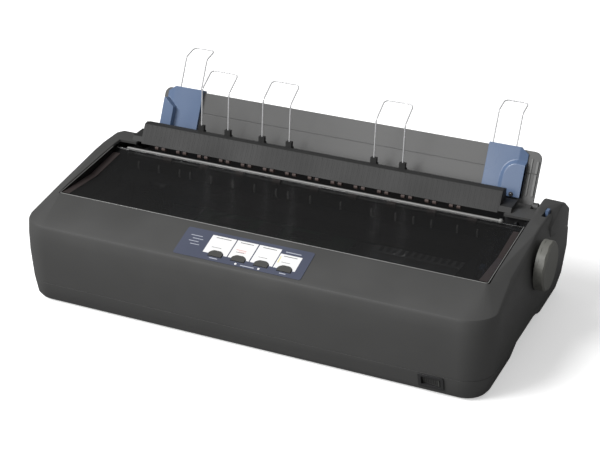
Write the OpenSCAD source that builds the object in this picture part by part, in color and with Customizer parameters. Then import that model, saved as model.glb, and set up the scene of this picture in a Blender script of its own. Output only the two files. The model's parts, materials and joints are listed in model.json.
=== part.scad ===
// Wide-carriage dot matrix printer: two-part case, smoked cover, sheet guide with wire supports,
// and the print mechanism inside. Millimetres. X runs along the carriage, -Y is the front, and Z is
// up from the desk. The origin is on the desk, under the centre of the whole envelope.

/* [Case] */
// Width of the case, without the paper feed knob
body_w = 526; // [510:1:560]
// Depth of the case
body_d = 275; // [270:1:290]
// Wall of the mouldings
wall = 2.6; // [2:0.1:3.2]
// Height of the rubber feet under the lower case
foot_h = 2; // [1.5:0.1:4]
// Thickness of the lower case's floor
floor_t = 3; // [2.5:0.1:4]
// Height of the seam between lower and upper case
seam_z = 26; // [25.5:0.1:30]
// Gap along the seam
seam_gap = 0.4; // [0.2:0.05:0.8]
// Height of the crease above the front wall
crease_z = 95.5; // [93:0.5:97]
// Radius of the two front corners in plan
front_r = 34; // [28:1:38]
// Radius of the two rear corners in plan
rear_r = 20; // [14:1:24]
// How far the front and rear draw in at the base
base_draw = 9; // [5:0.5:10]
// How far the left side draws in at the base
left_draw = 4; // [2:0.5:8]
// How far the right side draws in at the base
right_draw = 8; // [4:0.5:9]
// How far the sides draw in at the deck
deck_draw = 6; // [4:0.5:7]
// Height of the flat rear deck
deck_z = 119.2; // [118.8:0.1:120]

/* [Cover] */
// Width of the deck on each side of the cover
side_deck = 21; // [19:0.5:24]
// Depth of the sloped band in front of the cover
band_d = 51.5; // [49:0.5:53]
// Height of the deck at the cover's front edge
cover_front_z = 110; // [109.5:0.1:111]
// Thickness of the smoked cover
cover_t = 2.2; // [1.8:0.1:2.4]
// Gap round the cover
cover_gap = 0.6; // [0.4:0.1:0.8]
// Radius of the cover's hinge pins
cover_pin_r = 2.4; // [2:0.1:2.8]

/* [Paper supports] */
// Distance of the stacker bar from the case's left side
bar_left = 35; // [33:0.5:37]
// Distance of the stacker bar from the case's right side
bar_right = 44; // [42:0.5:46]
// Diameter of the steel wires
wire_d = 1.6; // [1.2:0.1:2]
// Width of each wire stacker, between leg centres
hoop_w = 33; // [30:0.5:36]
// Height of the stacker wires above their sockets
hoop_h = 48; // [42:1:54]
// Lean of the sheet guide from vertical
guide_lean = 26.5; // [22:0.5:30]
// Length of the sheet guide along its slope
guide_len = 57; // [54:0.5:60]
// Distance of the sheet guide from the case's left side
guide_left = 46; // [45:0.5:48]
// Distance of the sheet guide from the case's right side
guide_right = 32; // [31:0.5:34]
// Width of each blue edge guide
edge_w = 44; // [40:1:50]
// How far the extension wires stand above the edge guides
ext_len = 37; // [34:1:40]

/* [Mechanism] */
// Diameter of the platen's rubber
platen_d = 28; // [26:0.5:29]
// Diameter of the platen's shaft
shaft_d = 8; // [7:0.5:9]
// Height of the platen's axis
platen_z = 87; // [86:0.5:87.5]
// Diameter of the feed knob
knob_d = 53; // [48:1:54]
// How far the feed knob stands out of the case
knob_out = 12; // [11:0.5:16]
// Gear module
gear_m = 1.5; // [1.4:0.05:1.5]
// Diameter of the carriage rod
rod_d = 10; // [8:0.5:11]
// Radial running clearance of shafts and pins
run = 0.05; // [0.03:0.01:0.08]
// Travel of the carriage
travel = 330; // [300:5:336]
// Width of the carriage
carriage_w = 54; // [48:1:56]
// Thickness of the steel side frames
plate_t = 2; // [1.5:0.1:2.4]

/* [Controls] */
// Spacing of the four panel buttons
button_pitch = 25.5; // [24:0.1:27]
// Travel of a panel button
button_travel = 1; // [0.6:0.1:1.2]
// Width of the power switch's frame
switch_w = 24; // [20:0.5:26]
// Height of the power switch's frame
switch_h = 14.4; // [12:0.2:15]

/* [Hidden] */
$fn = 48;

hw = body_w / 2;
rear_y = 137.5;                  // rear wall, from which the mechanism is laid out
front_y = rear_y - body_d;
opening_w = body_w - 2 * side_deck;
bar_x0 = bar_left - hw;          // stacker bar, left and right ends
bar_x1 = hw - bar_right;
guide_x = [guide_left - hw, hw - guide_right];
guide_w = guide_x[1] - guide_x[0];
soft = 3.5;                      // rounding of the deck's outer edges
seat = 0.3;                      // clearance between neighbours that do not slide on each other
cover_y = front_y + band_d;      // front edge of the cover opening
opening_y = 46;                  // rear edge of the cover opening
open_hw = opening_w / 2;
slot_x = [bar_x0 + 7, bar_x1 - 6]; // paper opening behind the cover, left and right edges
rear_slot_z = 62;                // sill of the rear paper opening
charcoal = [0.31, 0.31, 0.32];
steel = [0.72, 0.73, 0.75];
black = [0.09, 0.09, 0.10];
blue = [0.42, 0.50, 0.66];

guide_axis = [88, 112.5];        // hinge of the sheet guide, (y, z)
face_gap = 0.3;                  // play of an edge guide on the sheet guide
edge_t = 3;                      // thickness of an edge guide
ext_y = -face_gap - edge_t / 2;  // plane of the extension wires' legs, within the edge guide
ext_back = [0, 16, 12.5];        // their top run, in the guide's frame
guide_top = guide_len + ext_len + ext_back[2];
// how far the extension wires reach out behind the case
rear_over = guide_axis[0] + guide_top * sin(guide_lean)
  + (ext_back[1] + ext_y) * cos(guide_lean) + wire_d / 2 - rear_y;

// ---- shared shapes ----

// Shifts the case so that the origin lies under the centre of the whole envelope, knob and
// extension wires included
module placed() {
  translate([-knob_out / 2, -(front_y + rear_y + rear_over) / 2, 0]) children();
}

// Four upright corner posts of the case outline, inset by d, and by sides at the left and right
module posts(z, h, d, sides) {
  for (side = [[-1, d - sides[0]], [1, d - sides[1]]]) {
    translate([side[0] * (hw - front_r + side[1]), front_y + front_r, z]) cylinder(h = h, r = front_r - d);
    translate([side[0] * (hw - rear_r + side[1]), rear_y - rear_r, z]) cylinder(h = h, r = rear_r - d);
  }
}
base_sides = [left_draw, right_draw];
seam_draw = 0.4;                 // share of the base's draw that is left at the seam

// Rounded outer points of the deck: [x, y, z] of the skin, for the right-hand side
deck_points = [
  [open_hw, cover_y, cover_front_z], [hw - deck_draw, -60, 107.2], [hw - deck_draw, 15, 117.6],
  [hw - deck_draw, 35, deck_z], [hw - deck_draw, 62, deck_z], [hw - deck_draw, 75, deck_z - 3.4]
];
belly_z = 58;                    // height from which the walls stand upright
// Outer form of the upper case; i insets it for the inside of the wall
module upper_form(i) {
  hull() {
    posts(i > 0 ? seam_z - 2 : seam_z + seam_gap, 0.5, base_draw * seam_draw + i,
      base_sides * seam_draw + [i, i]);
    posts(belly_z, 20, i, [i, i]);
    for (sx = [-1, 1]) {
      for (step = [[1, -4.2], [2.4, -1.4], [5, -0.2]])
        translate([sx * (hw - front_r), front_y + front_r, crease_z + step[1] - i])
          cylinder(h = 0.2, r = front_r - step[0] - i);
      for (p = deck_points)
        translate([sx * (p[0] - soft), p[1], p[2] - soft]) sphere(r = soft - i, $fn = 20);
    }
  }
}

// Outer form of the lower case
module lower_form(i) {
  hull() {
    posts(i > 0 ? foot_h + floor_t : foot_h, 0.2, base_draw + 3 + i, base_sides + [3 + i, 3 + i]);
    posts(foot_h + 4, 0.2, base_draw + i, base_sides + [i, i]);
    posts(i > 0 ? seam_z + 1 : seam_z - 0.2, 0.2, base_draw * seam_draw + i, base_sides * seam_draw + [i, i]);
  }
}

// Rectangle with rounded corners, from (x0, y0) to (x1, y1)
module rounded(x0, x1, y0, y1, r) {
  translate([x0 + r, y0]) square([x1 - x0 - 2 * r, y1 - y0]);
  translate([x0, y0 + r]) square([x1 - x0, y1 - y0 - 2 * r]);
  for (x = [x0 + r, x1 - r], y = [y0 + r, y1 - r]) translate([x, y]) circle(r);
}

// Profile given in (y, z), extruded along X from x0 to x1
module along_x(x0, x1) {
  translate([x0, 0, 0]) rotate([90, 0, 90]) linear_extrude(x1 - x0) children();
}

// Round bar along X, centred on (y, z)
module bar_x(x0, x1, y, z, r) {
  translate([x0, y, z]) rotate([0, 90, 0]) cylinder(h = x1 - x0, r = r);
}

bend_mark = 0.6;
// Steel wire bent along a path, with round elbows of radius r at its inner points
module bent_wire(path, r) {
  last = len(path) - 1;
  dir = [for (k = [0 : last - 1]) (path[k + 1] - path[k]) / norm(path[k + 1] - path[k])];
  turn = [for (k = [0 : last]) k > 0 && k < last ? acos(dir[k - 1] * dir[k]) : 0];
  trim = [for (a = turn) r * tan(a / 2)];
  for (k = [0 : last - 1]) {
    side = cross(abs(dir[k][0]) > 0.5 ? [0, 1, 0] : [1, 0, 0], dir[k]);
    n = side / norm(side);
    in_frame(path[k] + trim[k] * dir[k], n, cross(dir[k], n), dir[k])
      cylinder(h = norm(path[k + 1] - path[k]) - trim[k] - trim[k + 1], d = wire_d, $fn = 24);
  }
  for (k = [1 : last - 1]) {
    w = cross(dir[k - 1], dir[k]) / sin(turn[k]);
    n = cross(w, dir[k - 1]);
    in_frame(path[k] - trim[k] * dir[k - 1] + r * n, -n, dir[k - 1], w) {
      rotate_extrude(angle = turn[k], $fn = 48) translate([r, 0]) circle(d = wire_d, $fn = 24);
      // the press marks of the bend, a hair thicker, where it meets the straight runs
      for (a = [0, turn[k]]) rotate(a) translate([r, -bend_mark / 2, 0]) rotate([-90, 0, 0])
        cylinder(h = bend_mark, d = wire_d + 0.06, $fn = 24);
    }
  }
}
// Frame at p with the unit axes x, y and z
module in_frame(p, x, y, z) {
  multmatrix([[x[0], y[0], z[0], p[0]], [x[1], y[1], z[1], p[1]], [x[2], y[2], z[2], p[2]]]) children();
}

// ---- gears ----

function involute(rb, t) = [rb * (cos(t) + t * PI / 180 * sin(t)), rb * (sin(t) - t * PI / 180 * cos(t))];
function turned(p, a) = [p[0] * cos(a) - p[1] * sin(a), p[0] * sin(a) + p[1] * cos(a)];
backlash = 0.35;                 // degrees taken off each flank, times 20 / teeth
// Spur gear outline of n teeth; one tooth is centred on the angle phase
module gear_outline(n, phase) {
  rp = gear_m * n / 2;
  rb = rp * cos(20);
  ro = rp + gear_m * 0.9;
  rr = rp - gear_m * 1.25;
  t_pitch = tan(20) * 180 / PI;
  t_top = sqrt(pow(ro / rb, 2) - 1) * 180 / PI;
  half = 90 / n + (t_pitch - 20) - backlash * 20 / n;
  steps = 4;
  tooth = concat(
    [[rr * cos(half + 1), -rr * sin(half + 1)]],
    [for (i = [0 : steps]) turned(involute(rb, t_top * i / steps), -half)],
    [for (i = [steps : -1 : 0]) let (q = turned(involute(rb, t_top * i / steps), -half)) [q[0], -q[1]]],
    [[rr * cos(half + 1), rr * sin(half + 1)]]
  );
  polygon([for (k = [0 : n - 1]) for (p = tooth) turned(p, phase + k * 360 / n)]);
}
// Gear of n teeth about an axis along X, from x0, with a bore and a raised boss
module spur(n, x0, t, c, phase, bore) {
  translate([x0, c[0], c[1]]) rotate([90, 0, 90]) difference() {
    union() {
      linear_extrude(t) gear_outline(n, phase);
      translate([0, 0, -0.6]) cylinder(h = t + 1.2, r = bore + 2);
    }
    translate([0, 0, -1]) cylinder(h = t + 2, r = bore);
    if (n > 18) for (a = [0 : 60 : 300])
      rotate(a + 30) translate([gear_m * n * 0.3, 0, -1]) cylinder(h = t + 2, r = gear_m * n * 0.075);
  }
}

// ---- mechanism layout ----

frame_x = hw - 38;               // inner face of each side frame
platen_y = 15;
platen_c = [platen_y, platen_z];
platen_teeth = 24;
idler_teeth = 16;
pinion_teeth = 10;
idler2_teeth = 20;
tractor_teeth = 20;
function meshed(c, a, n1, n2) = c + gear_m * (n1 + n2) / 2 * [cos(a), sin(a)];
dir1 = -45;                      // platen gear to first idler
dir2 = -30;                      // first idler to pinion
dir3 = 8;                        // pinion to second idler
dir4 = 37;                       // second idler to tractor gear
idler_c = meshed(platen_c, dir1, platen_teeth, idler_teeth);
motor_c = meshed(idler_c, dir2, idler_teeth, pinion_teeth);
idler2_c = meshed(motor_c, dir3, pinion_teeth, idler2_teeth);
tractor_c = meshed(idler2_c, dir4, idler2_teeth, tractor_teeth);
// Phase of a gear of n2 teeth that meshes in direction a with one of n1 teeth and phase p1
function mate(p1, a, n1, n2) = a + 180 + 180 / n2 + (a - p1) * n1 / n2;
phase1 = dir1;
phase2 = mate(phase1, dir1, platen_teeth, idler_teeth);
phase3 = mate(phase2, dir2, idler_teeth, pinion_teeth);
phase4 = mate(phase3, dir3, pinion_teeth, idler2_teeth);
phase5 = mate(phase4, dir4, idler2_teeth, tractor_teeth);
gear_x = -frame_x - plate_t - 8; // left face of the gear train
gear_t = 6;
rod_c = [-28, 61];
rail_y = -63;
rail_t = 1.6;
chassis_z = 8;
chassis_t = 1.5;
frame_foot = chassis_z + chassis_t;
support_c = [tractor_c[0] + 18, tractor_c[1] - 14];
eject_c = [48, 103];
home_x = -travel / 2;
belt_c = -40;
belt_z = 36;
pulley_r = 6;
pulley_x = frame_x - 25;
cart_y = [-96, -62];
cart_z = [79, 94];
head_z = platen_z;

// ---- case ----

module rubber_feet() placed() color(black)
  for (p = foot_points) translate([p[0], p[1], 0]) {
    cylinder(h = foot_h, r = 9);
    cylinder(h = foot_h + floor_t + 1.2, r = 2.4);
  }

foot_points = [for (sx = [-1, 1], y = [front_y + 31, rear_y - 31]) [sx * (hw - 42), y]];
boss_points = [for (sx = [-1, 1], y = [-78, 2, 82]) [sx * (frame_x - 14), y]];
hold = [-42, 60];                // hand hold along each side's lower edge
hold_h = 21.4;
hold_d = 26;                     // reach of a hand hold in from the widest part of the case
hold_t = 2.4;
// Arched outline of a hand hold, lower towards the rear; d widens it by the thickness of its walls
module hold_outline(d) {
  polygon([[hold[0] - 1 - d, -1], [hold[0] + 7 - d, hold_h + d], [hold[1] - 38 + d / 2, hold_h + d],
    [hold[1] - 22 + d, 16 + d], [hold[1] + d, 7 + d / 2], [hold[1] + 2 + d, -1]]);
}
switch_x = hw - 59.5;
switch_z = 16.6;
front_rise = [seam_z - foot_h - 4, base_draw * (1 - seam_draw)]; // lower front wall: its height and lean
front_tilt = atan2(front_rise[1], front_rise[0]);
switch_y = front_y + base_draw - front_rise[1] * (switch_z - foot_h - 4) / front_rise[0];
// Frame of the front wall at the power switch: Z points out of the wall
module on_switch() {
  translate([switch_x, switch_y, switch_z]) rotate([90 + front_tilt, 0, 0]) children();
}
inlet_x = 25 - frame_x;
inlet_z = seam_z + 20.5;
rear_rise = [belly_z - seam_z, base_draw * seam_draw]; // upper rear wall: its leaning height and its lean
rear_tilt = atan2(rear_rise[1], rear_rise[0]);
// Frame of the rear wall at the mains inlet: Z points out of the wall
module on_rear(x) {
  translate([x, rear_y - rear_rise[1] * (belly_z - inlet_z) / rear_rise[0], inlet_z])
    rotate([-90 - rear_tilt, 0, 0]) rotate(180) children();
}
module lower_case() placed() color(charcoal) {
  difference() {
    lower_form(0);
    lower_form(wall);
    for (sx = [-1, 1]) along_x(sx * hw - hold_d, sx * hw + hold_d) hold_outline(0);
    for (p = foot_points) translate([p[0], p[1], 0]) cylinder(h = 9, r = 2.4);
    on_switch() translate([-switch_w / 2, -switch_h / 2, -8]) cube([switch_w, switch_h, 14]);
    for (x = [-150 : 12 : 150], y = [-84, -60]) translate([x, y, 0]) cube([3, 16, 9]);
    for (p = boss_points) translate([p[0], p[1], 0]) cylinder(h = 9, r = 2);
  }
  // roof and inner walls of each hand hold
  intersection() {
    lower_form(0.5);
    for (sx = [-1, 1]) difference() {
      along_x(sx * hw - hold_d - hold_t, sx * hw + hold_d + hold_t) hold_outline(hold_t);
      along_x(sx * hw - hold_d, sx * hw + hold_d) hold_outline(0);
      translate([sx * hw - 2 * hold_d, hold[0] - 9, -5]) cube([4 * hold_d, hold[1] - hold[0] + 20, foot_h + 6]);
    }
  }
  for (p = boss_points) translate([p[0], p[1], foot_h + floor_t - 0.4]) difference() {
    cylinder(h = chassis_z - foot_h - floor_t + 0.4, r = 6);
    translate([0, 0, -9]) cylinder(h = 30, r = 2);
  }
}

// Screws that hold the chassis down, driven up from underneath
module case_screws() placed() color(steel)
  for (p = boss_points) translate([p[0], p[1], foot_h - 0.9]) {
    cylinder(h = 0.9, r = 4);
    cylinder(h = chassis_z + chassis_t + 1 - foot_h, r = 1.9);
  }

// Control panel: a frame whose X runs along the case, Y up the sloped band and Z out of it
band_run = [band_d - 5, cover_front_z - soft - crease_z];
band_slope = atan2(band_run[1], band_run[0]) + asin(soft / norm(band_run));
module on_band(x, s, z) {
  translate([0, front_y + 5, crease_z]) rotate([band_slope, 0, 0]) translate([x, s, z]) children();
}
panel_x = 4.95;                  // middle of the button row
button_x = [for (i = [0 : 3]) panel_x + (i - 1.5) * button_pitch];
button_s = 11.2;
button_hw = 7.4;
button_hh = 3.9;
lamp_s = 3.7;
module button_plan(g) {
  translate([-button_hw - g, -button_hh - g]) square([2 * (button_hw + g), 2 * button_hh - 3 + 2 * g]);
  intersection() {
    translate([0, -4.4]) circle(r = 8.9 + g, $fn = 64);
    translate([-button_hw - g, -button_hh - g]) square([2 * (button_hw + g), 2 * button_hh + 2 * g]);
  }
}

ear_x = [hw - 23, hw - 2];
ear_left = [[56, deck_z - soft - 0.4], [74, 117.6], [95, 117.6], [126, 99]]; // (y, z) of its rounded edges
ear_right = [[60, 105.5], [96, 115], [112, 108.5], [126, 98]];
ear_foot = [[60, 98], [126, 70]];
// Raised housing at the right rear, over the release lever
module ear_form(i) {
  hull() {
    for (p = ear_left) translate([ear_x[0] + soft, p[0], p[1]]) sphere(r = soft - i, $fn = 20);
    for (p = ear_right) translate([ear_x[1] - soft, p[0], p[1]]) sphere(r = soft - i, $fn = 20);
    for (x = [ear_x[0] + soft, ear_x[1] - soft], p = ear_foot)
      translate([x, p[0], p[1] - (i > 0 ? 6 : 0)]) sphere(r = soft - i, $fn = 12);
  }
}
lever_x = hw - 11;
lever_c = [69.5, 92];            // pivot of the release lever, (y, z)
cover_axis = [40, 113.6];
guide_pins = [guide_x[0] - 3.5, guide_x[1] + 3.5];

module upper_case() placed() color(charcoal) difference() {
  union() {
    difference() {
      union() {
        upper_form(0);
        ear_form(0);
      }
      upper_form(wall);
      ear_form(wall);
    }
    // hinge bosses of the cover
    for (sx = [-1, 1]) along_x(sx * (open_hw + 4.4) - 3, sx * (open_hw + 4.4) + 3)
      translate([cover_axis[0] - 5, cover_axis[1] - 5]) square([10, deck_z - wall - cover_axis[1] + 5.4]);
    // hinge brackets of the sheet guide
    along_x(guide_x[0] - 6.5, guide_x[0] - 0.5) guide_bracket();
    along_x(guide_x[1] + 0.5, guide_x[1] + 6.5) guide_bracket();
    // step of the deck in front of the sheet guide's right foot
    along_x(slot_x[1], guide_x[1] + 0.6) polygon([[72, 112], [72, 115.6], [85, 115.3], [85, 106], [80, 106]]);
    // seat behind the control panel
    for (x = button_x) on_band(x, button_s, -7.4) difference() {
      linear_extrude(6) rounded(-button_hw - 2, button_hw + 2, -button_hh - 2, button_hh + 2, 1);
      translate([0, 0, -1]) linear_extrude(9) button_plan(0.3);
    }
  }
  // opening under the cover, with rounded front corners
  translate([0, 0, 90]) linear_extrude(60) {
    rounded(-open_hw, open_hw, cover_y, opening_y, 4);
    translate([-open_hw, 0]) square([opening_w, opening_y]);
  }
  // paper opening at the rear
  translate([slot_x[0], opening_y - 9, 90]) cube([slot_x[1] - slot_x[0], 60, 60]);
  translate([slot_x[0], 94, rear_slot_z]) cube([slot_x[1] - slot_x[0], 60, 90]);
  // feed knob's shaft
  bar_x(hw - 30, hw + 5, platen_y, platen_z, 13);
  // panel buttons, lamps and the switch's clearance in the seam
  for (x = button_x) on_band(x, button_s, -12) linear_extrude(30) button_plan(0.3);
  for (x = [button_x[1], button_x[2]]) on_band(x, lamp_s, -14) {
    cylinder(h = 30, r = 1.3);
    cylinder(h = 7, r = 2.7);
  }
  // slot of the release lever
  translate([lever_x - 2.6, 57, 100]) cube([5.2, 21, 40]);
  // rear connectors and mains inlet
  translate([-130, rear_y - 9, seam_z - 1]) cube([109, 20, 15]);
  on_rear(inlet_x) translate([-14, -11, -12]) cube([28, 22, 24]);
  // rear vents
  for (x = [60 : 9 : hw - 63]) translate([x, rear_y - 9, 34]) cube([3.5, 20, 20]);
  for (p = guide_pins) bar_x(p - 3.5, p + 3.5, guide_axis[0], guide_axis[1], 2 + run);
  for (sx = [-1, 1])
    bar_x(sx * (open_hw + 4.4) - 3.1, sx * (open_hw + 4.4) + 3.1, cover_axis[0], cover_axis[1], cover_pin_r + run);
}
module guide_bracket() {
  translate([guide_axis[0] - 4.5, guide_axis[1] - 14]) square([9, 14]);
  translate(guide_axis) circle(4.5);
}

// Printed skin of the control panel, with its windows for buttons and lamps
module control_panel() placed() color([0.27, 0.30, 0.37]) on_band(0, 0, 0.05) difference() {
  linear_extrude(0.4) rounded(-78, 64, 1.2, 40.4, 2.5);
  for (x = button_x) translate([x, button_s, -1]) linear_extrude(3) button_plan(0.5);
  for (x = [button_x[1], button_x[2]]) translate([x, lamp_s, -1]) cylinder(h = 3, r = 1.3);
}

module panel_button(i) color(black) on_band(button_x[i], button_s, 0) {
  translate([0, 0, -5]) linear_extrude(6.4) button_plan(0);
  translate([-button_hw - 1.2, -button_hh - 1.2, -9.4]) cube([2 * button_hw + 2.4, 2 * button_hh + 2.4, 1.6]);
  translate([0, 0, -7.9]) linear_extrude(3) rounded(-button_hw + 2, button_hw - 2, 1 - button_hh, button_hh - 2.6, 1);
}
module button_1() placed() panel_button(0);
module button_2() placed() panel_button(1);
module button_3() placed() panel_button(2);
module button_4() placed() panel_button(3);

module indicator_lamps() placed() color("white")
  for (x = [button_x[1], button_x[2]]) on_band(x, lamp_s, -8.6) {
    cylinder(h = 9.5, r = 1.25);
    cylinder(h = 1.4, r = 2.4);
  }

// Frame and rocker of the power switch
module power_bezel() placed() color(black)
  on_switch() difference() {
    union() {
      translate([-switch_w / 2, -switch_h / 2, -11]) cube([switch_w, switch_h, 11.5]);
      translate([0, 0, 0.15]) linear_extrude(1.2)
        rounded(-switch_w / 2 - 1.2, switch_w / 2 + 1.2, -switch_h / 2 - 1.2, switch_h / 2 + 1.2, 1.5);
    }
    translate([2 - switch_w / 2, 2 - switch_h / 2, -9.4]) cube([switch_w - 4, switch_h - 4, 20]);
    translate([0, 0, -4]) rotate([90, 0, 0]) translate([0, 0, -switch_h]) cylinder(h = 2 * switch_h, r = 1.2 + run);
  }
rocker_tilt = 7;
module power_rocker() placed() color([0.16, 0.16, 0.17])
  on_switch() translate([0, 0, -4]) rotate([0, -rocker_tilt, 0]) {
    linear_extrude(3.4) square([switch_w - 5.4, switch_h - 4.8], center = true);
    translate([0, 0, -3]) linear_extrude(4) square([9, switch_h - 4.8], center = true);
    rotate([90, 0, 0]) translate([0, 0, -switch_h / 2 + 0.4]) cylinder(h = switch_h - 0.8, r = 1.2);
  }

// ---- smoked cover ----

// Keeps a piece of the cover inside the rounded corners of its opening
module cover_outline(xo) intersection() {
  children();
  translate([0, 0, 90]) linear_extrude(40) rounded(-xo, xo, cover_y + cover_gap, opening_y, 4 - cover_gap);
}
ridge = [37, 113.2];
fold = [-25, 106];
module printer_cover() placed() color([0.10, 0.10, 0.11]) {
  xo = open_hw - cover_gap;
  front = [cover_y + cover_gap, cover_front_z - 0.5];
  // front pane, rear pane and rolled rear edge
  cover_outline(xo) along_x(-xo + 0.5, xo - 0.5) {
    polygon([front, fold, ridge, ridge - [-1, cover_t], fold - [0, cover_t], [front[0] + cover_t, front[1] - cover_t - 0.4],
      [front[0] + cover_t, front[1] - 6], [front[0], front[1] - 6]]);
    translate(ridge - [0, 0.3]) circle(1.7);
  }
  // raised sides that follow the deck
  for (sx = [-1, 1]) cover_outline(xo)
    along_x(sx * (xo - cover_t / 2) - cover_t / 2, sx * (xo - cover_t / 2) + cover_t / 2)
    polygon([front, [36, deck_z - 0.4], [cover_axis[0] + 2.2, deck_z - 0.4], [cover_axis[0] + 2.2, cover_axis[1] - 4],
      [cover_axis[0] - 4, cover_axis[1] - 4], fold - [0, cover_t], [front[0], front[1] - 6]]);
  // hinge pins
  for (sx = [-1, 1])
    bar_x(sx * (xo + 3) - 3.2, sx * (xo + 3) + 3.2, cover_axis[0], cover_axis[1], cover_pin_r);
}

// ---- stacker bar and wires ----

bar_foot_y = 50;
bar_top = [61, 137];
bar_lean = atan2(bar_top[0] - bar_foot_y, bar_top[1] - deck_z);
hoop_x = [-150, -75, 58];
hoop_c = [71.4, 137];            // the wires' legs at the level of the bar's top, (y, z)
hoop_lean = 5;
socket_d = 11;                   // depth of a wire's socket below the bar's top
clip_h = 6;                      // height of a socket's clip above it
bar_rear = 74;
// Section of the bar; d insets it for the hollow underneath
module bar_profile(d) {
  foot = deck_z - (d > 0 ? 1 : 0);
  polygon([[bar_foot_y + d, foot], [bar_top[0] + d * (1 - tan(bar_lean)), bar_top[1] - d],
    [bar_top[0] + 5, bar_top[1] + 1 - d], [bar_rear - d, bar_top[1] - 2 - d], [bar_rear - d, foot]]);
}
module stacker_bar() placed() color(charcoal * 0.92) difference() {
  union() {
    along_x(bar_x0 + 11, bar_x1 - 13) bar_profile(0);
    // stepped ends
    intersection() {
      along_x(bar_x0, bar_x1) bar_profile(0);
      translate([bar_x0, 0, deck_z]) cube([bar_x1 - bar_x0, 100, 5]);
    }
    // fine upright ribs on the front face
    translate([0, bar_foot_y, deck_z]) rotate([-bar_lean, 0, 0]) translate([0, 0, 0.4])
      linear_extrude((bar_top[1] - deck_z) / cos(bar_lean) - 0.8)
        for (x = [bar_x0 + 13 : 6 : bar_x1 - 16]) translate([x, -0.35]) square([1.8, 1.05]);
    for (x = socket_x) socket(x);
  }
  along_x(bar_x0 + 13, bar_x1 - 15) bar_profile(wall);
  for (x = socket_x) translate([x, hoop_c[0], hoop_c[1]]) rotate([-hoop_lean, 0, 0])
    translate([0, 0, -socket_d]) cylinder(h = 2 * socket_d, r = wire_d / 2 + run, $fn = 24);
}
socket_x = [for (x = hoop_x) for (s = [0, 1]) x + s * hoop_w];
module socket(x) {
  translate([x, hoop_c[0], hoop_c[1]]) rotate([-hoop_lean, 0, 0]) {
    translate([-4.2, -3, -socket_d]) cube([8.4, 6, socket_d]);
    translate([-3.4, -2.4, -1]) cube([6.8, 4.8, clip_h + 1]);
    translate([-3, -2.2, -socket_d - 3]) cube([6, 4.4, 4]);
  }
}
// Wire stacker: two legs, a knee, and a top run that leans back
hoop_reach = 24;
hoop_rise = 14;
bend_r = 5;                      // bends of the wires
module stacker_wire(i) color(steel) {
  up = [0, sin(hoop_lean), cos(hoop_lean)];
  foot = [hoop_x[i], hoop_c[0], hoop_c[1]] - (socket_d - 1) * up;
  knee = foot + (hoop_h + socket_d - 1) * up;
  lean = [0, hoop_reach, hoop_rise];
  w = [hoop_w, 0, 0];
  bent_wire([foot, knee, knee + lean, knee + lean + w, knee + w, foot + w], bend_r);
}
module stacker_wire_1() placed() stacker_wire(0);
module stacker_wire_2() placed() stacker_wire(1);
module stacker_wire_3() placed() stacker_wire(2);

// ---- sheet guide, edge guides and extension wires ----

// Frame of the leaning guide: X along the case, Y behind its face, Z up its slope
module on_guide() {
  translate([0, guide_axis[0], guide_axis[1]]) rotate([-guide_lean, 0, 0]) children();
}
panel_t = 3.4;
module sheet_guide() placed() color([0.45, 0.45, 0.46]) on_guide() {
  difference() {
    union() {
      translate([0, panel_t, 0]) rotate([90, 0, 0]) linear_extrude(panel_t)
        rounded(guide_x[0], guide_x[1], 2, guide_len, 8);
      // lower corners are square, and two lugs reach down to the hinge
      translate([guide_x[0], 0, 0.6]) cube([guide_w, panel_t, 10]);
      for (x = [guide_x[0], guide_x[1] - 12]) translate([x, 0, -1.5]) cube([12, panel_t, 10]);
      // rim along the right edge and ribs behind
      translate([guide_x[1] - 4, -1.2, 10]) cube([2.4, 2, guide_len - 20]);
      translate([guide_x[1] - 10, -0.8, 10]) cube([1.6, 2, guide_len - 18]);
      for (x = [guide_x[0] + 40 : 46 : guide_x[1] - 30]) translate([x, panel_t - 0.5, 6]) cube([2, 5, guide_len - 14]);
      translate([guide_x[0] + 10, panel_t - 0.5, 7]) cube([guide_w - 20, 4, 2.2]);
    }
    // seam across the face
    translate([guide_x[0] - 1, -3, 33]) cube([guide_w + 2, 3.7, 1]);
  }
  for (p = [[guide_x[0] - 6, guide_x[0] + 2], [guide_x[1] - 2, guide_x[1] + 6]]) bar_x(p[0], p[1], 0, 0, 2);
}

wire_legs = [14.5, edge_w - 3.5];
// Edge guide from x = 0 to edge_w, with its fence, the child, at the outer end
module edge_guide(fence_t) {
  difference() {
    union() {
      difference() {
        translate([0, -face_gap, 0]) rotate([90, 0, 0]) linear_extrude(edge_t)
          polygon([[0, 6], [edge_w, 6], [edge_w, guide_len + 2.2], [9, guide_len + 2.2], [0, guide_len - 4]]);
        // slanted facet at the upper outer corner
        linear_extrude(guide_len + 9) polygon([[-1, -9], [11, -9], [9, -face_gap - edge_t], [0, -face_gap - 1], [-1, -face_gap - 1]]);
      }
      // hook over the top edge of the sheet guide
      translate([9, -face_gap - edge_t, guide_len + face_gap]) cube([edge_w - 9, panel_t + 2 * edge_t + face_gap, 1.9]);
      translate([9, panel_t + face_gap, guide_len - 5]) cube([edge_w - 9, 2, 6]);
      // fence that the sheet's edge runs against
      translate([0, -face_gap - 0.6, 0]) rotate([90, 0, 0]) linear_extrude(fence_t - 0.6) children();
    }
    for (x = wire_legs) translate([x, ext_y, 4]) cylinder(h = guide_len, r = wire_d / 2 + run, $fn = 24);
  }
}
module left_fence() polygon([[0, 6], [13.5, 6], [13.5, 33], [12.6, 35.4], [1.5, 44], [0, 44]]);
module right_fence() polygon(concat([[0, 6], [21, 6]], [for (a = [0 : 15 : 90]) [9 + 12 * cos(a), 26 + 14 * sin(a)]], [[0, 40]]));
left_guide_x = guide_x[0] + 5;
right_guide_x = guide_x[1] - 14;
module left_edge_guide() placed() color(blue) on_guide() translate([left_guide_x, 0, 0])
  edge_guide(9.5) left_fence();
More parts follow.
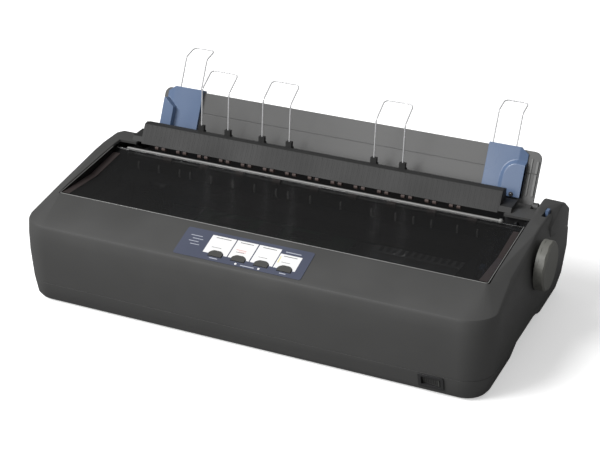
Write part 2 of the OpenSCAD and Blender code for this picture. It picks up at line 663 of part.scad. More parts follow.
module right_edge_guide() placed() color(blue) on_guide() translate([right_guide_x, 0, 0])
  mirror([1, 0, 0]) edge_guide(7) right_fence();

module extension_wire() {
  foot = [wire_legs[0], ext_y, guide_len - 8];
  knee = [wire_legs[0], ext_y, guide_len + ext_len];
  w = [wire_legs[1] - wire_legs[0], 0, 0];
  bent_wire([foot, knee, knee + ext_back, knee + ext_back + w, knee + w, foot + w], bend_r);
}
module left_extension_wire() placed() color(steel) on_guide() translate([left_guide_x, 0, 0]) extension_wire();
module right_extension_wire() placed() color(steel) on_guide() translate([right_guide_x, 0, 0]) mirror([1, 0, 0]) extension_wire();

// ---- knob, platen and gears ----

module feed_knob() placed() color([0.27, 0.27, 0.25]) difference() {
  union() {
    bar_x(hw + 1, hw + 4, platen_y, platen_z, knob_d / 2);
    intersection() {
      bar_x(hw + 3, hw + knob_out, platen_y, platen_z, knob_d / 2);
      translate([hw + 3, platen_y, platen_z]) rotate([0, 90, 0]) rotate(15)
        cylinder(h = knob_out - 3, r = knob_d / 2 + 0.5, $fn = 12);
      translate([hw + 3, platen_y, platen_z]) rotate([0, 90, 0])
        cylinder(h = knob_out - 3, r1 = knob_d / 2 + knob_out - 5, r2 = knob_d / 2 - 2, $fn = 64);
    }
    bar_x(hw - 9, hw + 1, platen_y, platen_z, 10);
  }
  bar_x(hw - 12, hw + knob_out - 5, platen_y, platen_z, shaft_d / 2);
}
module platen_shaft() placed() color(steel)
  bar_x(gear_x - 2, hw + knob_out - 5.5, platen_y, platen_z, shaft_d / 2 - 0.001);
module platen_roller() placed() color([0.13, 0.13, 0.13]) difference() {
  bar_x(-frame_x + 9, frame_x - 9, platen_y, platen_z, platen_d / 2);
  bar_x(-frame_x, frame_x, platen_y, platen_z, shaft_d / 2);
}
module platen_gear() placed() color([0.85, 0.84, 0.80]) spur(platen_teeth, gear_x, gear_t, platen_c, phase1, shaft_d / 2);
module idler_gear_1() placed() color([0.85, 0.84, 0.80]) spur(idler_teeth, gear_x, gear_t, idler_c, phase2, 2.5 + run);
// The motor's pinion, with its shaft
module feed_pinion() placed() color([0.80, 0.67, 0.35]) {
  spur(pinion_teeth, gear_x, gear_t, motor_c, phase3, 2.5);
  bar_x(gear_x - 1.5, -frame_x, motor_c[0], motor_c[1], 2.51);
}
module idler_gear_2() placed() color([0.85, 0.84, 0.80]) spur(idler2_teeth, gear_x, gear_t, idler2_c, phase4, 2.5 + run);
module tractor_gear() placed() color([0.85, 0.84, 0.80]) spur(tractor_teeth, gear_x, gear_t, tractor_c, phase5, 4);

module feed_motor() placed() color([0.25, 0.25, 0.26]) {
  bar_x(-frame_x + seat, -frame_x + 3, motor_c[0], motor_c[1], 20);
  bar_x(-frame_x + 2, -frame_x + 24, motor_c[0], motor_c[1], 18.5);
  bar_x(-frame_x + 23, -frame_x + 26, motor_c[0], motor_c[1], 6);
}

// ---- chassis ----

module chassis_plate() placed() color(steel) {
  difference() {
    translate([0, 0, chassis_z]) linear_extrude(chassis_t) rounded(-frame_x - 6, frame_x + 6, front_y + 25.5, rear_y - 15.5, 5);
    for (p = boss_points) translate([p[0], p[1], 0]) cylinder(h = 30, r = 1.95);
    for (x = [-150 : 60 : 150]) translate([x, 20, 0]) cylinder(h = 30, r = 12);
  }
  // post of the belt's tension pulley
  translate([-pulley_x, belt_c, frame_foot - 0.1]) cylinder(h = belt_z + 3.1 - frame_foot, r = 2);
}
// Side frame: the outline that carries every shaft
module frame_outline() {
  polygon([[front_y + 37.5, frame_foot], [front_y + 37.5, cart_z[0] - 0.4], [-44, cart_z[0] - 0.4], [-8, 100.5],
    [34, 100.5], [38, 111], [58, 111], [66, 102], [92, 94], [120, 78], [120, frame_foot]]);
}
module side_frame(x0, shaft_clear) color(steel) difference() {
  along_x(x0, x0 + plate_t) frame_outline();
  bar_x(x0 - 1, x0 + plate_t + 1, platen_y, platen_z, shaft_d / 2 + run);
  bar_x(x0 - 1, x0 + plate_t + 1, tractor_c[0], tractor_c[1], 4 + run);
  bar_x(x0 - 1, x0 + plate_t + 1, eject_c[0], eject_c[1], 2.5 + run);
  bar_x(x0 - 1, x0 + plate_t + 1, -30, 28, 9);
  if (shaft_clear) bar_x(x0 - 1, x0 + plate_t + 1, motor_c[0], motor_c[1], 4);
}
module left_side_frame() placed() {
  side_frame(-frame_x - plate_t, true);
  color(steel) for (c = [idler_c, idler2_c]) {
    bar_x(gear_x - 1.5, -frame_x - plate_t + 0.1, c[0], c[1], 2.5);
    bar_x(gear_x - 1.5, gear_x - 1, c[0], c[1], 4);
  }
}
module right_side_frame() placed() {
  side_frame(frame_x, false);
  color(steel) bar_x(frame_x + plate_t - 0.1, lever_x + 3, lever_c[0], lever_c[1], 2.5);
}

module carriage_rod() placed() color([0.80, 0.81, 0.83]) bar_x(-frame_x, frame_x, rod_c[0], rod_c[1], rod_d / 2);
module guide_rail() placed() color(steel) {
  along_x(-frame_x, frame_x) {
    translate([rail_y - rail_t / 2, 22]) square([rail_t, 34]);
    translate([rail_y - 9, 22]) square([9, rail_t]);
  }
}

// ---- carriage, head and ribbon ----

module carriage() placed() color(black) translate([home_x, 0, 0]) difference() {
  union() {
    along_x(-carriage_w / 2, carriage_w / 2)
      polygon([[-68, 50], [-68, 60], [-48, 69], [-36, 73], [-20, 73], [-16, 67], [-16, 53], [-36, 48]]);
    along_x(-9, 9) translate([belt_c + pulley_r - 2.4, belt_z - 2]) square([4.8, 20]);
    for (x = [-20, 20]) along_x(x - 3, x + 3) polygon([[-46, 66], [-46, head_z - 8.3], [-22, head_z - 8.3], [-22, 70]]);
  }
  bar_x(-carriage_w, carriage_w, rod_c[0], rod_c[1], rod_d / 2 + run);
  along_x(-carriage_w, carriage_w) translate([rail_y - rail_t / 2 - seat, 40]) square([rail_t + 2 * seat, 16.4]);
  along_x(-carriage_w, carriage_w) translate([belt_c + pulley_r - 0.8 - seat, belt_z - 3]) square([1.4 + 2 * seat, 9.4]);
}
fin_pitch = 5;
module print_head() placed() color([0.20, 0.20, 0.21]) translate([home_x, 0, 0]) {
  // nose that carries the wires to the ribbon
  difference() {
    translate([0, 0, head_z]) rotate([90, 0, 0]) translate([0, 0, 2.2]) linear_extrude(14) square([8, 14], center = true);
    translate([-0.6, -3.2, head_z - 4.5]) cube([1.2, 3, 9]);
  }
  // round driver housing and its ring of fins
  translate([0, -10, head_z]) rotate([90, 0, 0]) cylinder(h = 8, r1 = 9, r2 = 15);
  translate([0, -18, head_z]) rotate([90, 0, 0]) cylinder(h = 24, r = 13);
  for (i = [0 : 4]) intersection() {
    translate([0, -18.5 - fin_pitch * i, head_z]) rotate([90, 0, 0]) cylinder(h = 2, r = 16);
    translate([-18, -60, head_z - 8]) cube([36, 60, 26]);
  }
  translate([-23, -44, head_z - 8]) cube([46, 20, 2.5]);
}
module ribbon_mask() placed() color([0.75, 0.77, 0.80]) translate([home_x, 0, 0]) difference() {
  union() {
    translate([-14, -0.5, head_z - 14]) cube([28, 0.25, 26]);
    for (z = [head_z - 14, head_z + 9]) translate([-6, -9.6, z]) cube([12, 9.2, 1]);
    for (z = [head_z - 14, head_z + 7]) translate([-4, -9.6, z]) cube([8, 2, 7]);
  }
  translate([-2, -2, head_z - 5]) cube([4, 4, 10]);
}

module ribbon_cartridge() placed() color([0.12, 0.12, 0.13]) {
  xo = frame_x - 3;
  difference() {
    translate([0, 0, cart_z[0]]) linear_extrude(cart_z[1] - cart_z[0]) {
      rounded(-xo, xo, cart_y[0], cart_y[1], 4);
      for (sx = [-1, 1]) polygon([[sx * (xo - 26), cart_y[1] - 4], [sx * (xo - 4), cart_y[1] - 4],
        [sx * (xo - 16), -1.6], [sx * (xo - 23), -1.6]]);
    }
    translate([ribbon_knob_x, -79, cart_z[1] - 6]) cylinder(h = 9, r = 3 + run);
    // shallow panels in the lid
    for (x = [-150 : 75 : 150]) translate([x - 30, cart_y[0] + 6, cart_z[1] - 0.8]) cube([60, 22, 3]);
  }
  for (sx = [-1, 1]) translate([sx * (frame_x - 1.2) - 3.2, -90, cart_z[0]]) cube([6.4, 20, 4]);
}
ribbon_knob_x = 25 - frame_x;
module ribbon_band() placed() color([0.05, 0.05, 0.06])
  translate([26 - frame_x, -1.45, platen_z - 5.5]) cube([2 * frame_x - 52, 0.3, 12]);
module ribbon_knob() placed() color([0.30, 0.32, 0.35]) translate([ribbon_knob_x, -79, cart_z[1]]) {
  difference() {
    translate([0, 0, seat]) cylinder(h = 7, r = 9);
    for (a = [0 : 30 : 330]) rotate(a) translate([9.6, 0, 0]) cylinder(h = 9, r = 1.3);
  }
  translate([0, 0, -5.6]) cylinder(h = 6.4, r = 3);
}

// Drive of the carriage
module carriage_motor() placed() color([0.25, 0.25, 0.26]) translate([pulley_x, belt_c, 0]) {
  translate([0, 0, frame_foot]) cylinder(h = 22, r = 19);
  translate([0, 0, frame_foot + 22]) cylinder(h = 1.6, r = 8);
}
module pulley(x, z0) {
  translate([x, belt_c, 0]) difference() {
    union() {
      translate([0, 0, belt_z - 1.6]) cylinder(h = 1.2, r = pulley_r + 2);
      translate([0, 0, belt_z - 0.5]) cylinder(h = 7, r = pulley_r - 0.7 - seat);
      translate([0, 0, belt_z + 6.4]) cylinder(h = 1.2, r = pulley_r + 2);
    }
    translate([0, 0, z0]) cylinder(h = 30, r = 2 + run);
  }
}
module drive_pulley() placed() color([0.85, 0.84, 0.80]) {
  pulley(pulley_x, belt_z + 2);
  translate([pulley_x, belt_c, frame_foot + 23.9]) cylinder(h = belt_z + 2 - frame_foot - 23.9, r = 2);
}
module tension_pulley() placed() color([0.85, 0.84, 0.80]) pulley(-pulley_x, 20);
module timing_belt() placed() color(black) translate([0, belt_c, belt_z]) linear_extrude(6) difference() {
  rounded(-pulley_x - pulley_r - 0.7, pulley_x + pulley_r + 0.7, -pulley_r - 0.7, pulley_r + 0.7, pulley_r + 0.69);
  rounded(-pulley_x - pulley_r + 0.7, pulley_x + pulley_r - 0.7, -pulley_r + 0.7, pulley_r - 0.7, pulley_r - 0.71);
}

// Plate behind the platen with its ribs, and the chute that leads down to it from the sheet guide
rib_x = [-210.6, -184.7, -158.2, -145.1, -119.1, -92.3, -65.8, -39.6, -25.4, 1.1, 36.6, 72.1, 99.4, 119.7,
  139.7, 168.3, 190];
module paper_guide() placed() color([0.24, 0.24, 0.25]) {
  along_x(-frame_x, frame_x) polygon([[33, 80], [36, 80], [36, 104], [33, 108]]);
  for (x = rib_x) if (abs(x) < frame_x - 3)
    along_x(x - 0.9, x + 0.9) polygon([[33.5, 80.5], [31, 84], [31, 100], [33.5, 104]]);
  along_x(slot_x[0] + 1.5, slot_x[1] - 1.5)
    polygon([[35.5, 93.4], [60, 93.4], [85, 107], [84.1, 108.8], [59.5, 95.4], [35.5, 95.4]]);
}
module eject_shaft() placed() color([0.36, 0.30, 0.28]) {
  bar_x(-frame_x - plate_t, frame_x + plate_t, eject_c[0], eject_c[1], 2.5);
  for (x = [-180 : 45 : 180]) bar_x(x - 5, x + 5, eject_c[0], eject_c[1], 5.5);
}
module head_gap_lever() placed() color(blue) difference() {
  union() {
    along_x(frame_x - 6.3, frame_x - 4.3) {
      translate(rod_c) circle(8);
      translate(rod_c) polygon([[-4, 2], [4, 2], [0, 36], [-6, 36]]);
    }
    along_x(frame_x - 10, frame_x - 4.3) translate(rod_c + [-7, 33]) square([8, 4]);
  }
  bar_x(frame_x - 12, frame_x, rod_c[0], rod_c[1], rod_d / 2 + run);
}
module release_lever() placed() color(blue) difference() {
  along_x(lever_x - 1.6, lever_x + 1.6) {
    polygon([[66, 92], [73, 92], [76, 120.5], [68.5, 120.5], [68.3, 114]]);
    translate(lever_c) circle(6);
  }
  along_x(lever_x - 10, lever_x + 1.8) polygon([[68.4, 121.8], [68.4, 123.4], [69.4, 124.2], [76, 124.2], [76, 121.8]]);
  along_x(lever_x - 1.6, lever_x + 1.6) translate([68.5, 120]) square([7.5, 2.5]);
  bar_x(lever_x - 3, lever_x + 3, lever_c[0], lever_c[1], 2.5 + run);
}

// ---- tractors ----

module tractor_drive_shaft() placed() color(steel)
  bar_x(gear_x - 2, frame_x + plate_t + 1, tractor_c[0], tractor_c[1], 3.999);
module tractor_support_shaft() placed() color(steel)
  bar_x(-frame_x, frame_x, support_c[0], support_c[1], 3);
tractor_w = 16;
tractor_tilt = atan2(tractor_c[1] - support_c[1], support_c[0] - tractor_c[0]);
hinge_z = 12.8;                  // height of a flap's hinge above the line of the shafts
// Frame of a tractor: Y runs along its belt and Z away from the paper's path
module on_tractor(x0) {
  translate([x0, tractor_c[0], tractor_c[1]]) rotate([-tractor_tilt, 0, 0]) children();
}
// Frame of the left or right tractor, with X out towards the side of the case
module outward(x0, s) on_tractor(x0 + tractor_w / 2) mirror([s < 0 ? 1 : 0, 0, 0]) children();
flap_x = tractor_w / 2 + 2;      // hinge of the flap, outside the tractor
lugs_y = [-1, 17.6];
lug_t = 3.2;
// Body of a tractor with its pin belt, flap lugs and lock lever; s is its outer side
module tractor(x0, s) difference() {
  union() {
    color([0.20, 0.20, 0.21]) translate([x0, 0, 0]) along_x(0, tractor_w) {
      translate(tractor_c) circle(10);
      translate(support_c) circle(9);
      polygon([tractor_c + [-6, -8], support_c + [-6, -7.2], support_c + [5.4, 7.2], tractor_c + [6, 8]]);
    }
    outward(x0, s) {
      for (k = [0 : 3]) translate([0, 2 + 6 * k, 8]) cylinder(h = 3.8, r = 1.6);
      for (y = lugs_y) translate([flap_x - 3, y, 3]) cube([5, lug_t, hinge_z - 1.2]);
    }
    translate([x0 + (s > 0 ? tractor_w - 0.5 : -3.5), 0, 0]) along_x(0, 4)
      translate(support_c + [-4, -13]) square([6, 13]);
  }
  outward(x0, s) translate([flap_x, -2, hinge_z]) rotate([-90, 0, 0]) cylinder(h = 30, r = 1 + run, $fn = 24);
  bar_x(x0 - 8, x0 + tractor_w + 8, tractor_c[0], tractor_c[1], 4 + run);
  bar_x(x0 - 8, x0 + tractor_w + 8, support_c[0], support_c[1], 3 + run);
}
left_tractor_x = 47 - frame_x;
right_tractor_x = frame_x - 63;
module left_tractor() placed() tractor(left_tractor_x, -1);
module right_tractor() placed() tractor(right_tractor_x, 1);
// Hinged flap that holds the paper's edge on the pins
module tractor_cover(x0, s) color([0.28, 0.28, 0.29]) outward(x0, s) {
  barrel = [lugs_y[0] + lug_t + seat, lugs_y[1] - seat];
  difference() {
    translate([0.5 - tractor_w / 2, -4, 12.4]) cube([tractor_w - 2, 28, 1.6]);
    translate([-2.6, -1, 8]) cube([5.2, 23, 9]);
  }
  translate([flap_x - 4, barrel[0], 12.4]) cube([3.5, barrel[1] - barrel[0], 1.6]);
  translate([flap_x, barrel[0], hinge_z]) rotate([-90, 0, 0]) cylinder(h = barrel[1] - barrel[0], r = 1.9, $fn = 24);
  translate([flap_x, lugs_y[0], hinge_z]) rotate([-90, 0, 0])
    cylinder(h = lugs_y[1] + lug_t - lugs_y[0], r = 1, $fn = 24);
}
module left_tractor_cover() placed() tractor_cover(left_tractor_x, -1);
module right_tractor_cover() placed() tractor_cover(right_tractor_x, 1);

// ---- electronics ----

board_z = seam_z - 1;
module main_board() placed() color([0.10, 0.32, 0.18]) {
  translate([-160, 56, board_z]) cube([190, rear_y - 73, 1.6]);
  for (x = [-150, 20], y = [62, 110]) translate([x, y, frame_foot]) cylinder(h = board_z - frame_foot + 1, r = 3);
  for (p = [[-130, 66, 34, 14], [-80, 62, 24, 24], [-40, 70, 30, 12], [-10, 80, 14, 14]])
    translate([p[0], p[1], board_z + 1]) cube([p[2], p[3], 3.4]);
}
module power_supply() placed() color([0.60, 0.61, 0.62]) difference() {
  translate([60, 62, frame_foot]) cube([120, 54, 26]);
  for (x = [68 : 8 : 170]) translate([x, 66, frame_foot + 20]) cube([4, 46, 9]);
}
module ac_inlet() placed() color(black) on_rear(inlet_x) difference() {
  union() {
    translate([-13.6, -10.6, -17]) cube([27.2, 21.2, 17.4]);
    translate([0, 0, 0.15]) linear_extrude(1.5) rounded(-17, 17, -13, 13, 2);
  }
  translate([-11, -7, -12]) cube([22, 14, 30]);
}
// Shells of the parallel, serial and USB connectors, standing on the main board
module interface_connectors() placed() color([0.55, 0.56, 0.58])
  for (p = [[-125, 52, 12, 3], [-64, 13, 11, 2], [-42, 17, 8, 2]])
    translate([p[0], rear_y - 22, board_z + 1.6]) difference() {
      cube([p[1], 20, p[2]]);
      translate([p[3], 12, 2]) cube([p[1] - 2 * p[3], 30, p[2] - 4]);
      translate([p[3] * 2, 4, p[2] / 2 - 1]) cube([p[1] - 4 * p[3], 30, 2]);
    }

lower_case();
upper_case();
rubber_feet();
printer_cover();
stacker_bar();
stacker_wire_1();
stacker_wire_2();
stacker_wire_3();
sheet_guide();
left_edge_guide();
right_edge_guide();
left_extension_wire();
right_extension_wire();
feed_knob();
release_lever();
power_bezel();
power_rocker();
control_panel();
button_1();
button_2();
button_3();
button_4();
indicator_lamps();
chassis_plate();
left_side_frame();
right_side_frame();
platen_roller();
platen_shaft();
platen_gear();
idler_gear_1();
feed_motor();
feed_pinion();
idler_gear_2();
tractor_gear();
tractor_drive_shaft();
tractor_support_shaft();
left_tractor();
right_tractor();
left_tractor_cover();
right_tractor_cover();
carriage();
print_head();
ribbon_mask();
carriage_rod();
guide_rail();
carriage_motor();
drive_pulley();
timing_belt();
tension_pulley();
ribbon_cartridge();
ribbon_band();
ribbon_knob();
paper_guide();
eject_shaft();
main_board();
power_supply();
ac_inlet();
interface_connectors();
case_screws();
head_gap_lever();
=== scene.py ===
# %% [markdown]
# # A wide-carriage dot matrix printer
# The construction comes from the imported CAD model, which this lesson loads as a fixed frame. Every
# object is in metres: X runs along the carriage, -Y is the front and Z is up from the desk.

# %% Load the frame
import json
import math

import bmesh
import bpy
from mathutils import Matrix, Vector

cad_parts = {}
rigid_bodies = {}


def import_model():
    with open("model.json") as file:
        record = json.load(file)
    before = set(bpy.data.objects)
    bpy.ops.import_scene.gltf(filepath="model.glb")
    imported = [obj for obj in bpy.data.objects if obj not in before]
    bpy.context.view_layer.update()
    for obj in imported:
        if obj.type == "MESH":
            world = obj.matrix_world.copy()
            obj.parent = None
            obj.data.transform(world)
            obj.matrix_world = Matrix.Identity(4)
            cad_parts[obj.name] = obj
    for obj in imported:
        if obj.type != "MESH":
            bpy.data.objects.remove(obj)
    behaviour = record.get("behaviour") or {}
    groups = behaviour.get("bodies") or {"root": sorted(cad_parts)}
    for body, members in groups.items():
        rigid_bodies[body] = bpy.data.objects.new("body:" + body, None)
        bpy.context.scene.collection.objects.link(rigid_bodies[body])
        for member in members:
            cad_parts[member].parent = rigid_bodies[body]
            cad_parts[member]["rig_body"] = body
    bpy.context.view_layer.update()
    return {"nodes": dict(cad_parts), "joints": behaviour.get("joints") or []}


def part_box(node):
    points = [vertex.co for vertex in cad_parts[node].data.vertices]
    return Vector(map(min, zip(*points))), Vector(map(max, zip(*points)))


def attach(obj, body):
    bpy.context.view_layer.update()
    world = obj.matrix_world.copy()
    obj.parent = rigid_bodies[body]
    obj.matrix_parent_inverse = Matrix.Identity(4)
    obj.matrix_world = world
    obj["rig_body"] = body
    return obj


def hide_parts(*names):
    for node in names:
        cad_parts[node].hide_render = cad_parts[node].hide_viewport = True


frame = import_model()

MM = 0.001
NODES = frame["nodes"]


def joint(name):
    """A joint of the frame by its name."""
    return next(j for j in frame["joints"] if j["name"] == name)


# %% [markdown]
# ## Camera
# A product shot of a wide machine is taken from a few metres away with a long lens, so that its
# edges stay nearly parallel. The camera stands to the right of the front, about 27 degrees above
# the desk, and looks at a point near the middle of the case.

# %% Camera
CAMERA_AZIMUTH = math.radians(24.62)
CAMERA_HEIGHT = math.radians(26.97)
CAMERA_DISTANCE = 1.6832
CASE_LOW, CASE_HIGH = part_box("upper_case")
CASE_X = (CASE_LOW.x + CASE_HIGH.x) / 2
CAMERA_TARGET = Vector((CASE_X + 3.8 * MM, -5.8 * MM, 83.4 * MM))
LENS = 94.98

toward_camera = Vector((
    math.sin(CAMERA_AZIMUTH) * math.cos(CAMERA_HEIGHT),
    -math.cos(CAMERA_AZIMUTH) * math.cos(CAMERA_HEIGHT),
    math.sin(CAMERA_HEIGHT),
))
camera_data = bpy.data.cameras.new("camera")
camera_data.lens = LENS
camera_data.sensor_width = 36
camera_data.clip_end = 50
camera = bpy.data.objects.new("camera", camera_data)
camera.location = CAMERA_TARGET + CAMERA_DISTANCE * toward_camera
camera.rotation_euler = (-toward_camera).to_track_quat("-Z", "Y").to_euler()
bpy.context.scene.collection.objects.link(camera)
bpy.context.scene.camera = camera
bpy.context.scene.view_settings.view_transform = "Standard"
print("camera at", [round(v, 3) for v in camera.location])

# %% [markdown]
# ## Studio
# Dark plastic shows its shape by the difference between its faces: the sloped band is the lightest,
# the front a step darker and the right side darker again. One broad lamp high at the front left
# gives that, with a weak even sky. A second, small lamp stands where the leaning paper guides mirror
# it towards the camera, puts a sheen on them and fills the front a little.
#
# The floor and the backdrop are near white to the camera only. To the light that bounces, and to
# gloss, they are much darker, as a sheet of paper far away from the machine would be. That keeps the
# polished cover black and the right side dark. A little light of its own, seen by the camera alone,
# lifts the floor's shadow without taking it away.

# %% Lamps, sky and floor
SKY_LIGHT = 0.38
SKY_IN_GLOSS = 0.15
KEY_STRENGTH = 2.9
KEY_FROM = Vector((-0.55, -0.44, 0.71))
KEY_ANGLE = math.radians(34)
SHEEN_POWER = 1.6
SHEEN_SIZE = 0.42
SHEEN_DISTANCE = 1.0
FLOOR_RADIUS = 6
FLOOR_SEEN = 0.93
FLOOR_LIFT = 0.42
FLOOR_BOUNCE = 0.27


def aimed(lamp_data, place, target):
    """Puts a lamp at a place and turns it to a target."""
    lamp = bpy.data.objects.new(lamp_data.name, lamp_data)
    lamp.location = place
    lamp.rotation_euler = (target - place).to_track_quat("-Z", "Y").to_euler()
    bpy.context.scene.collection.objects.link(lamp)


def for_rays(nodes, links, kinds, otherwise, value):
    """A number that is value for rays of the given kinds and otherwise for all others."""
    path = nodes.new("ShaderNodeLightPath")
    seen = path.outputs[kinds[0]]
    for kind in kinds[1:]:
        either = nodes.new("ShaderNodeMath")
        either.operation = "MAXIMUM"
        links.new(seen, either.inputs[0])
        links.new(path.outputs[kind], either.inputs[1])
        seen = either.outputs[0]
    chosen = nodes.new("ShaderNodeMapRange")
    chosen.inputs["To Min"].default_value = otherwise
    chosen.inputs["To Max"].default_value = value
    links.new(seen, chosen.inputs["Value"])
    return chosen.outputs["Result"]


key = bpy.data.lights.new("key", "SUN")
key.energy = KEY_STRENGTH
key.angle = KEY_ANGLE
aimed(key, CAMERA_TARGET + 3 * KEY_FROM, CAMERA_TARGET)

GUIDE_UP = Vector(joint("right_extension_wire_slide")["axis"])
GUIDE_OUT = Vector((1, 0, 0)).cross(GUIDE_UP)
if GUIDE_OUT.y > 0:
    GUIDE_OUT = -GUIDE_OUT
guide_low, guide_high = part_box("right_edge_guide")
guide_middle = (guide_low + guide_high) / 2
mirrored = 2 * GUIDE_OUT.dot(toward_camera) * GUIDE_OUT - toward_camera
sheen = bpy.data.lights.new("sheen", "AREA")
sheen.size = SHEEN_SIZE
sheen.energy = SHEEN_POWER
aimed(sheen, guide_middle + SHEEN_DISTANCE * mirrored, guide_middle)

world = bpy.data.worlds.new("studio")
bpy.context.scene.world = world
world.use_nodes = True
sky_nodes, sky_links = world.node_tree.nodes, world.node_tree.links
sky = sky_nodes["Background"]
sky.inputs["Color"].default_value = (1, 1, 1, 1)
in_gloss = for_rays(sky_nodes, sky_links, ["Is Glossy Ray"], 0, SKY_IN_GLOSS - SKY_LIGHT)
to_camera = for_rays(sky_nodes, sky_links, ["Is Camera Ray", "Is Transmission Ray"], SKY_LIGHT, 1)
sky_sum = sky_nodes.new("ShaderNodeMath")
sky_links.new(in_gloss, sky_sum.inputs[0])
sky_links.new(to_camera, sky_sum.inputs[1])
sky_links.new(sky_sum.outputs[0], sky.inputs["Strength"])

bm = bmesh.new()
bmesh.ops.create_circle(bm, cap_ends=True, segments=96, radius=FLOOR_RADIUS)
floor_mesh = bpy.data.meshes.new("floor")
bm.to_mesh(floor_mesh)
bm.free()
floor = bpy.data.objects.new("floor", floor_mesh)
bpy.context.scene.collection.objects.link(floor)
floor_paint = bpy.data.materials.new("floor_paint")
floor_paint.use_nodes = True
floor_nodes, floor_links = floor_paint.node_tree.nodes, floor_paint.node_tree.links
floor_shader = floor_nodes["Principled BSDF"]
floor_shader.inputs["Roughness"].default_value = 0.9
floor_shader.inputs["Specular IOR Level"].default_value = 0.1
paper = for_rays(floor_nodes, floor_links, ["Is Camera Ray"], FLOOR_BOUNCE, FLOOR_SEEN)
floor_links.new(paper, floor_shader.inputs["Base Color"])
floor_shader.inputs["Emission Color"].default_value = (1, 1, 1, 1)
lifted = for_rays(floor_nodes, floor_links, ["Is Camera Ray"], 0, FLOOR_LIFT)
floor_links.new(lifted, floor_shader.inputs["Emission Strength"])
floor_mesh.materials.append(floor_paint)
print("studio: sky", SKY_LIGHT, "key", KEY_STRENGTH, "sheen", SHEEN_POWER)

# %% [markdown]
# ## Finishes
# Almost everything here is moulded plastic. Its colour is never quite even, its gloss varies a
# little over a hand's width, and its skin has a fine grain from the mould. One function makes that
# skin from two noise patterns in object coordinates: a broad one for colour and gloss, and a fine
# one for the grain. What is the same all over is set on the shader's own socket.

# %% Moulded plastic
GRAIN_SIZE = 0.0006
BROAD_SIZE = 0.06


def noise(nodes, links, place, size, detail=2.0):
    """Noise whose features are about size metres across."""
    pattern = nodes.new("ShaderNodeTexNoise")
    pattern.inputs["Scale"].default_value = 1 / size
    pattern.inputs["Detail"].default_value = detail
    links.new(place, pattern.inputs["Vector"])
    return pattern.outputs["Fac"]


def spread(nodes, links, value, low, high):
    """Maps the middle of a noise to the range from low to high."""
    ranged = nodes.new("ShaderNodeMapRange")
    ranged.inputs["From Min"].default_value = 0.3
    ranged.inputs["From Max"].default_value = 0.7
    ranged.inputs["To Min"].default_value = low
    ranged.inputs["To Max"].default_value = high
    links.new(value, ranged.inputs["Value"])
    return ranged.outputs["Result"]


def mottle(nodes, links, value, colour, change):
    """A colour that gets lighter and darker by the share change as value goes from 0 to 1."""
    ramp = nodes.new("ShaderNodeValToRGB")
    for stop, level in zip(ramp.color_ramp.elements, (1 - change, 1 + change)):
        stop.color = (*[min(c * level, 1) for c in colour], 1)
    ramp.color_ramp.elements[0].position = 0.3
    ramp.color_ramp.elements[1].position = 0.7
    links.new(value, ramp.inputs["Fac"])
    return ramp.outputs["Color"]


def plastic(name, colour, gloss=(0.45, 0.55), grain=0.35, change=0.05):
    """Moulded plastic; gloss is its range of roughness and grain the strength of its mould texture."""
    paint = bpy.data.materials.new(name)
    paint.use_nodes = True
    nodes, links = paint.node_tree.nodes, paint.node_tree.links
    shader = nodes["Principled BSDF"]
    place = nodes.new("ShaderNodeTexCoord").outputs["Object"]
    broad = noise(nodes, links, place, BROAD_SIZE)
    links.new(mottle(nodes, links, broad, colour, change), shader.inputs["Base Color"])
    links.new(spread(nodes, links, broad, *gloss), shader.inputs["Roughness"])
    if grain:
        bump = nodes.new("ShaderNodeBump")
        bump.inputs["Strength"].default_value = grain
        bump.inputs["Distance"].default_value = GRAIN_SIZE / 8
        links.new(noise(nodes, links, place, GRAIN_SIZE, 3.0), bump.inputs["Height"])
        links.new(bump.outputs["Normal"], shader.inputs["Normal"])
    return paint


CASE = plastic("case_charcoal", (0.061, 0.061, 0.060))
BAR = plastic("bar_charcoal", (0.020, 0.020, 0.0198), gloss=(0.55, 0.65))
GUIDE = plastic("guide_grey", (0.096, 0.096, 0.095), gloss=(0.3, 0.38), grain=0.12)
SLATE_BLUE = plastic("slate_blue", (0.104, 0.155, 0.262), gloss=(0.24, 0.32), grain=0.06)
DARK = plastic("dark_plastic", (0.022, 0.022, 0.023), gloss=(0.4, 0.5), grain=0.25)
KNOB = plastic("knob_olive", (0.135, 0.135, 0.122), gloss=(0.42, 0.5))
KEYTOP = plastic("key_dark", (0.060, 0.061, 0.058), gloss=(0.4, 0.5), grain=0.2)
RUBBER = plastic("black_rubber", (0.018, 0.018, 0.018), gloss=(0.7, 0.8), grain=0.5)
NYLON = plastic("white_nylon", (0.62, 0.60, 0.55), gloss=(0.35, 0.45), grain=0.1)
FILM = plastic("panel_film", (0.068, 0.077, 0.115), gloss=(0.38, 0.46), grain=0.2)
INK_WHITE = plastic("white_ink", (0.80, 0.80, 0.80), gloss=(0.4, 0.5), grain=0.05, change=0.02)
INK_PALE = plastic("pale_ink", (0.42, 0.44, 0.50), gloss=(0.4, 0.5), grain=0.05)
INK_ROSE = plastic("rose_ink", (0.70, 0.42, 0.40), gloss=(0.4, 0.5), grain=0.05)
INK_YELLOW = plastic("yellow_ink", (0.75, 0.68, 0.35), gloss=(0.4, 0.5), grain=0.05)
RIB = plastic("pale_rib", (0.60, 0.59, 0.57), gloss=(0.35, 0.45), grain=0.2)
# Light grey for the ridge bar and the cover lip: a painted highlight, the shine that their edges catch.
HIGHLIGHT_GREY = plastic("painted_highlight_grey", (0.20, 0.20, 0.195), gloss=(0.28, 0.36), grain=0.1)
SOFT_ROLL = plastic("brown_roll", (0.115, 0.085, 0.078), gloss=(0.5, 0.6), grain=0.3)
PALE_RIM = plastic("pale_rim", (0.17, 0.17, 0.168), gloss=(0.3, 0.4), grain=0.12)
CHIP = plastic("black_chip", (0.02, 0.02, 0.02), gloss=(0.35, 0.45), grain=0.2)
BOARD = plastic("green_board", (0.02, 0.11, 0.05), gloss=(0.25, 0.35), grain=0.2)
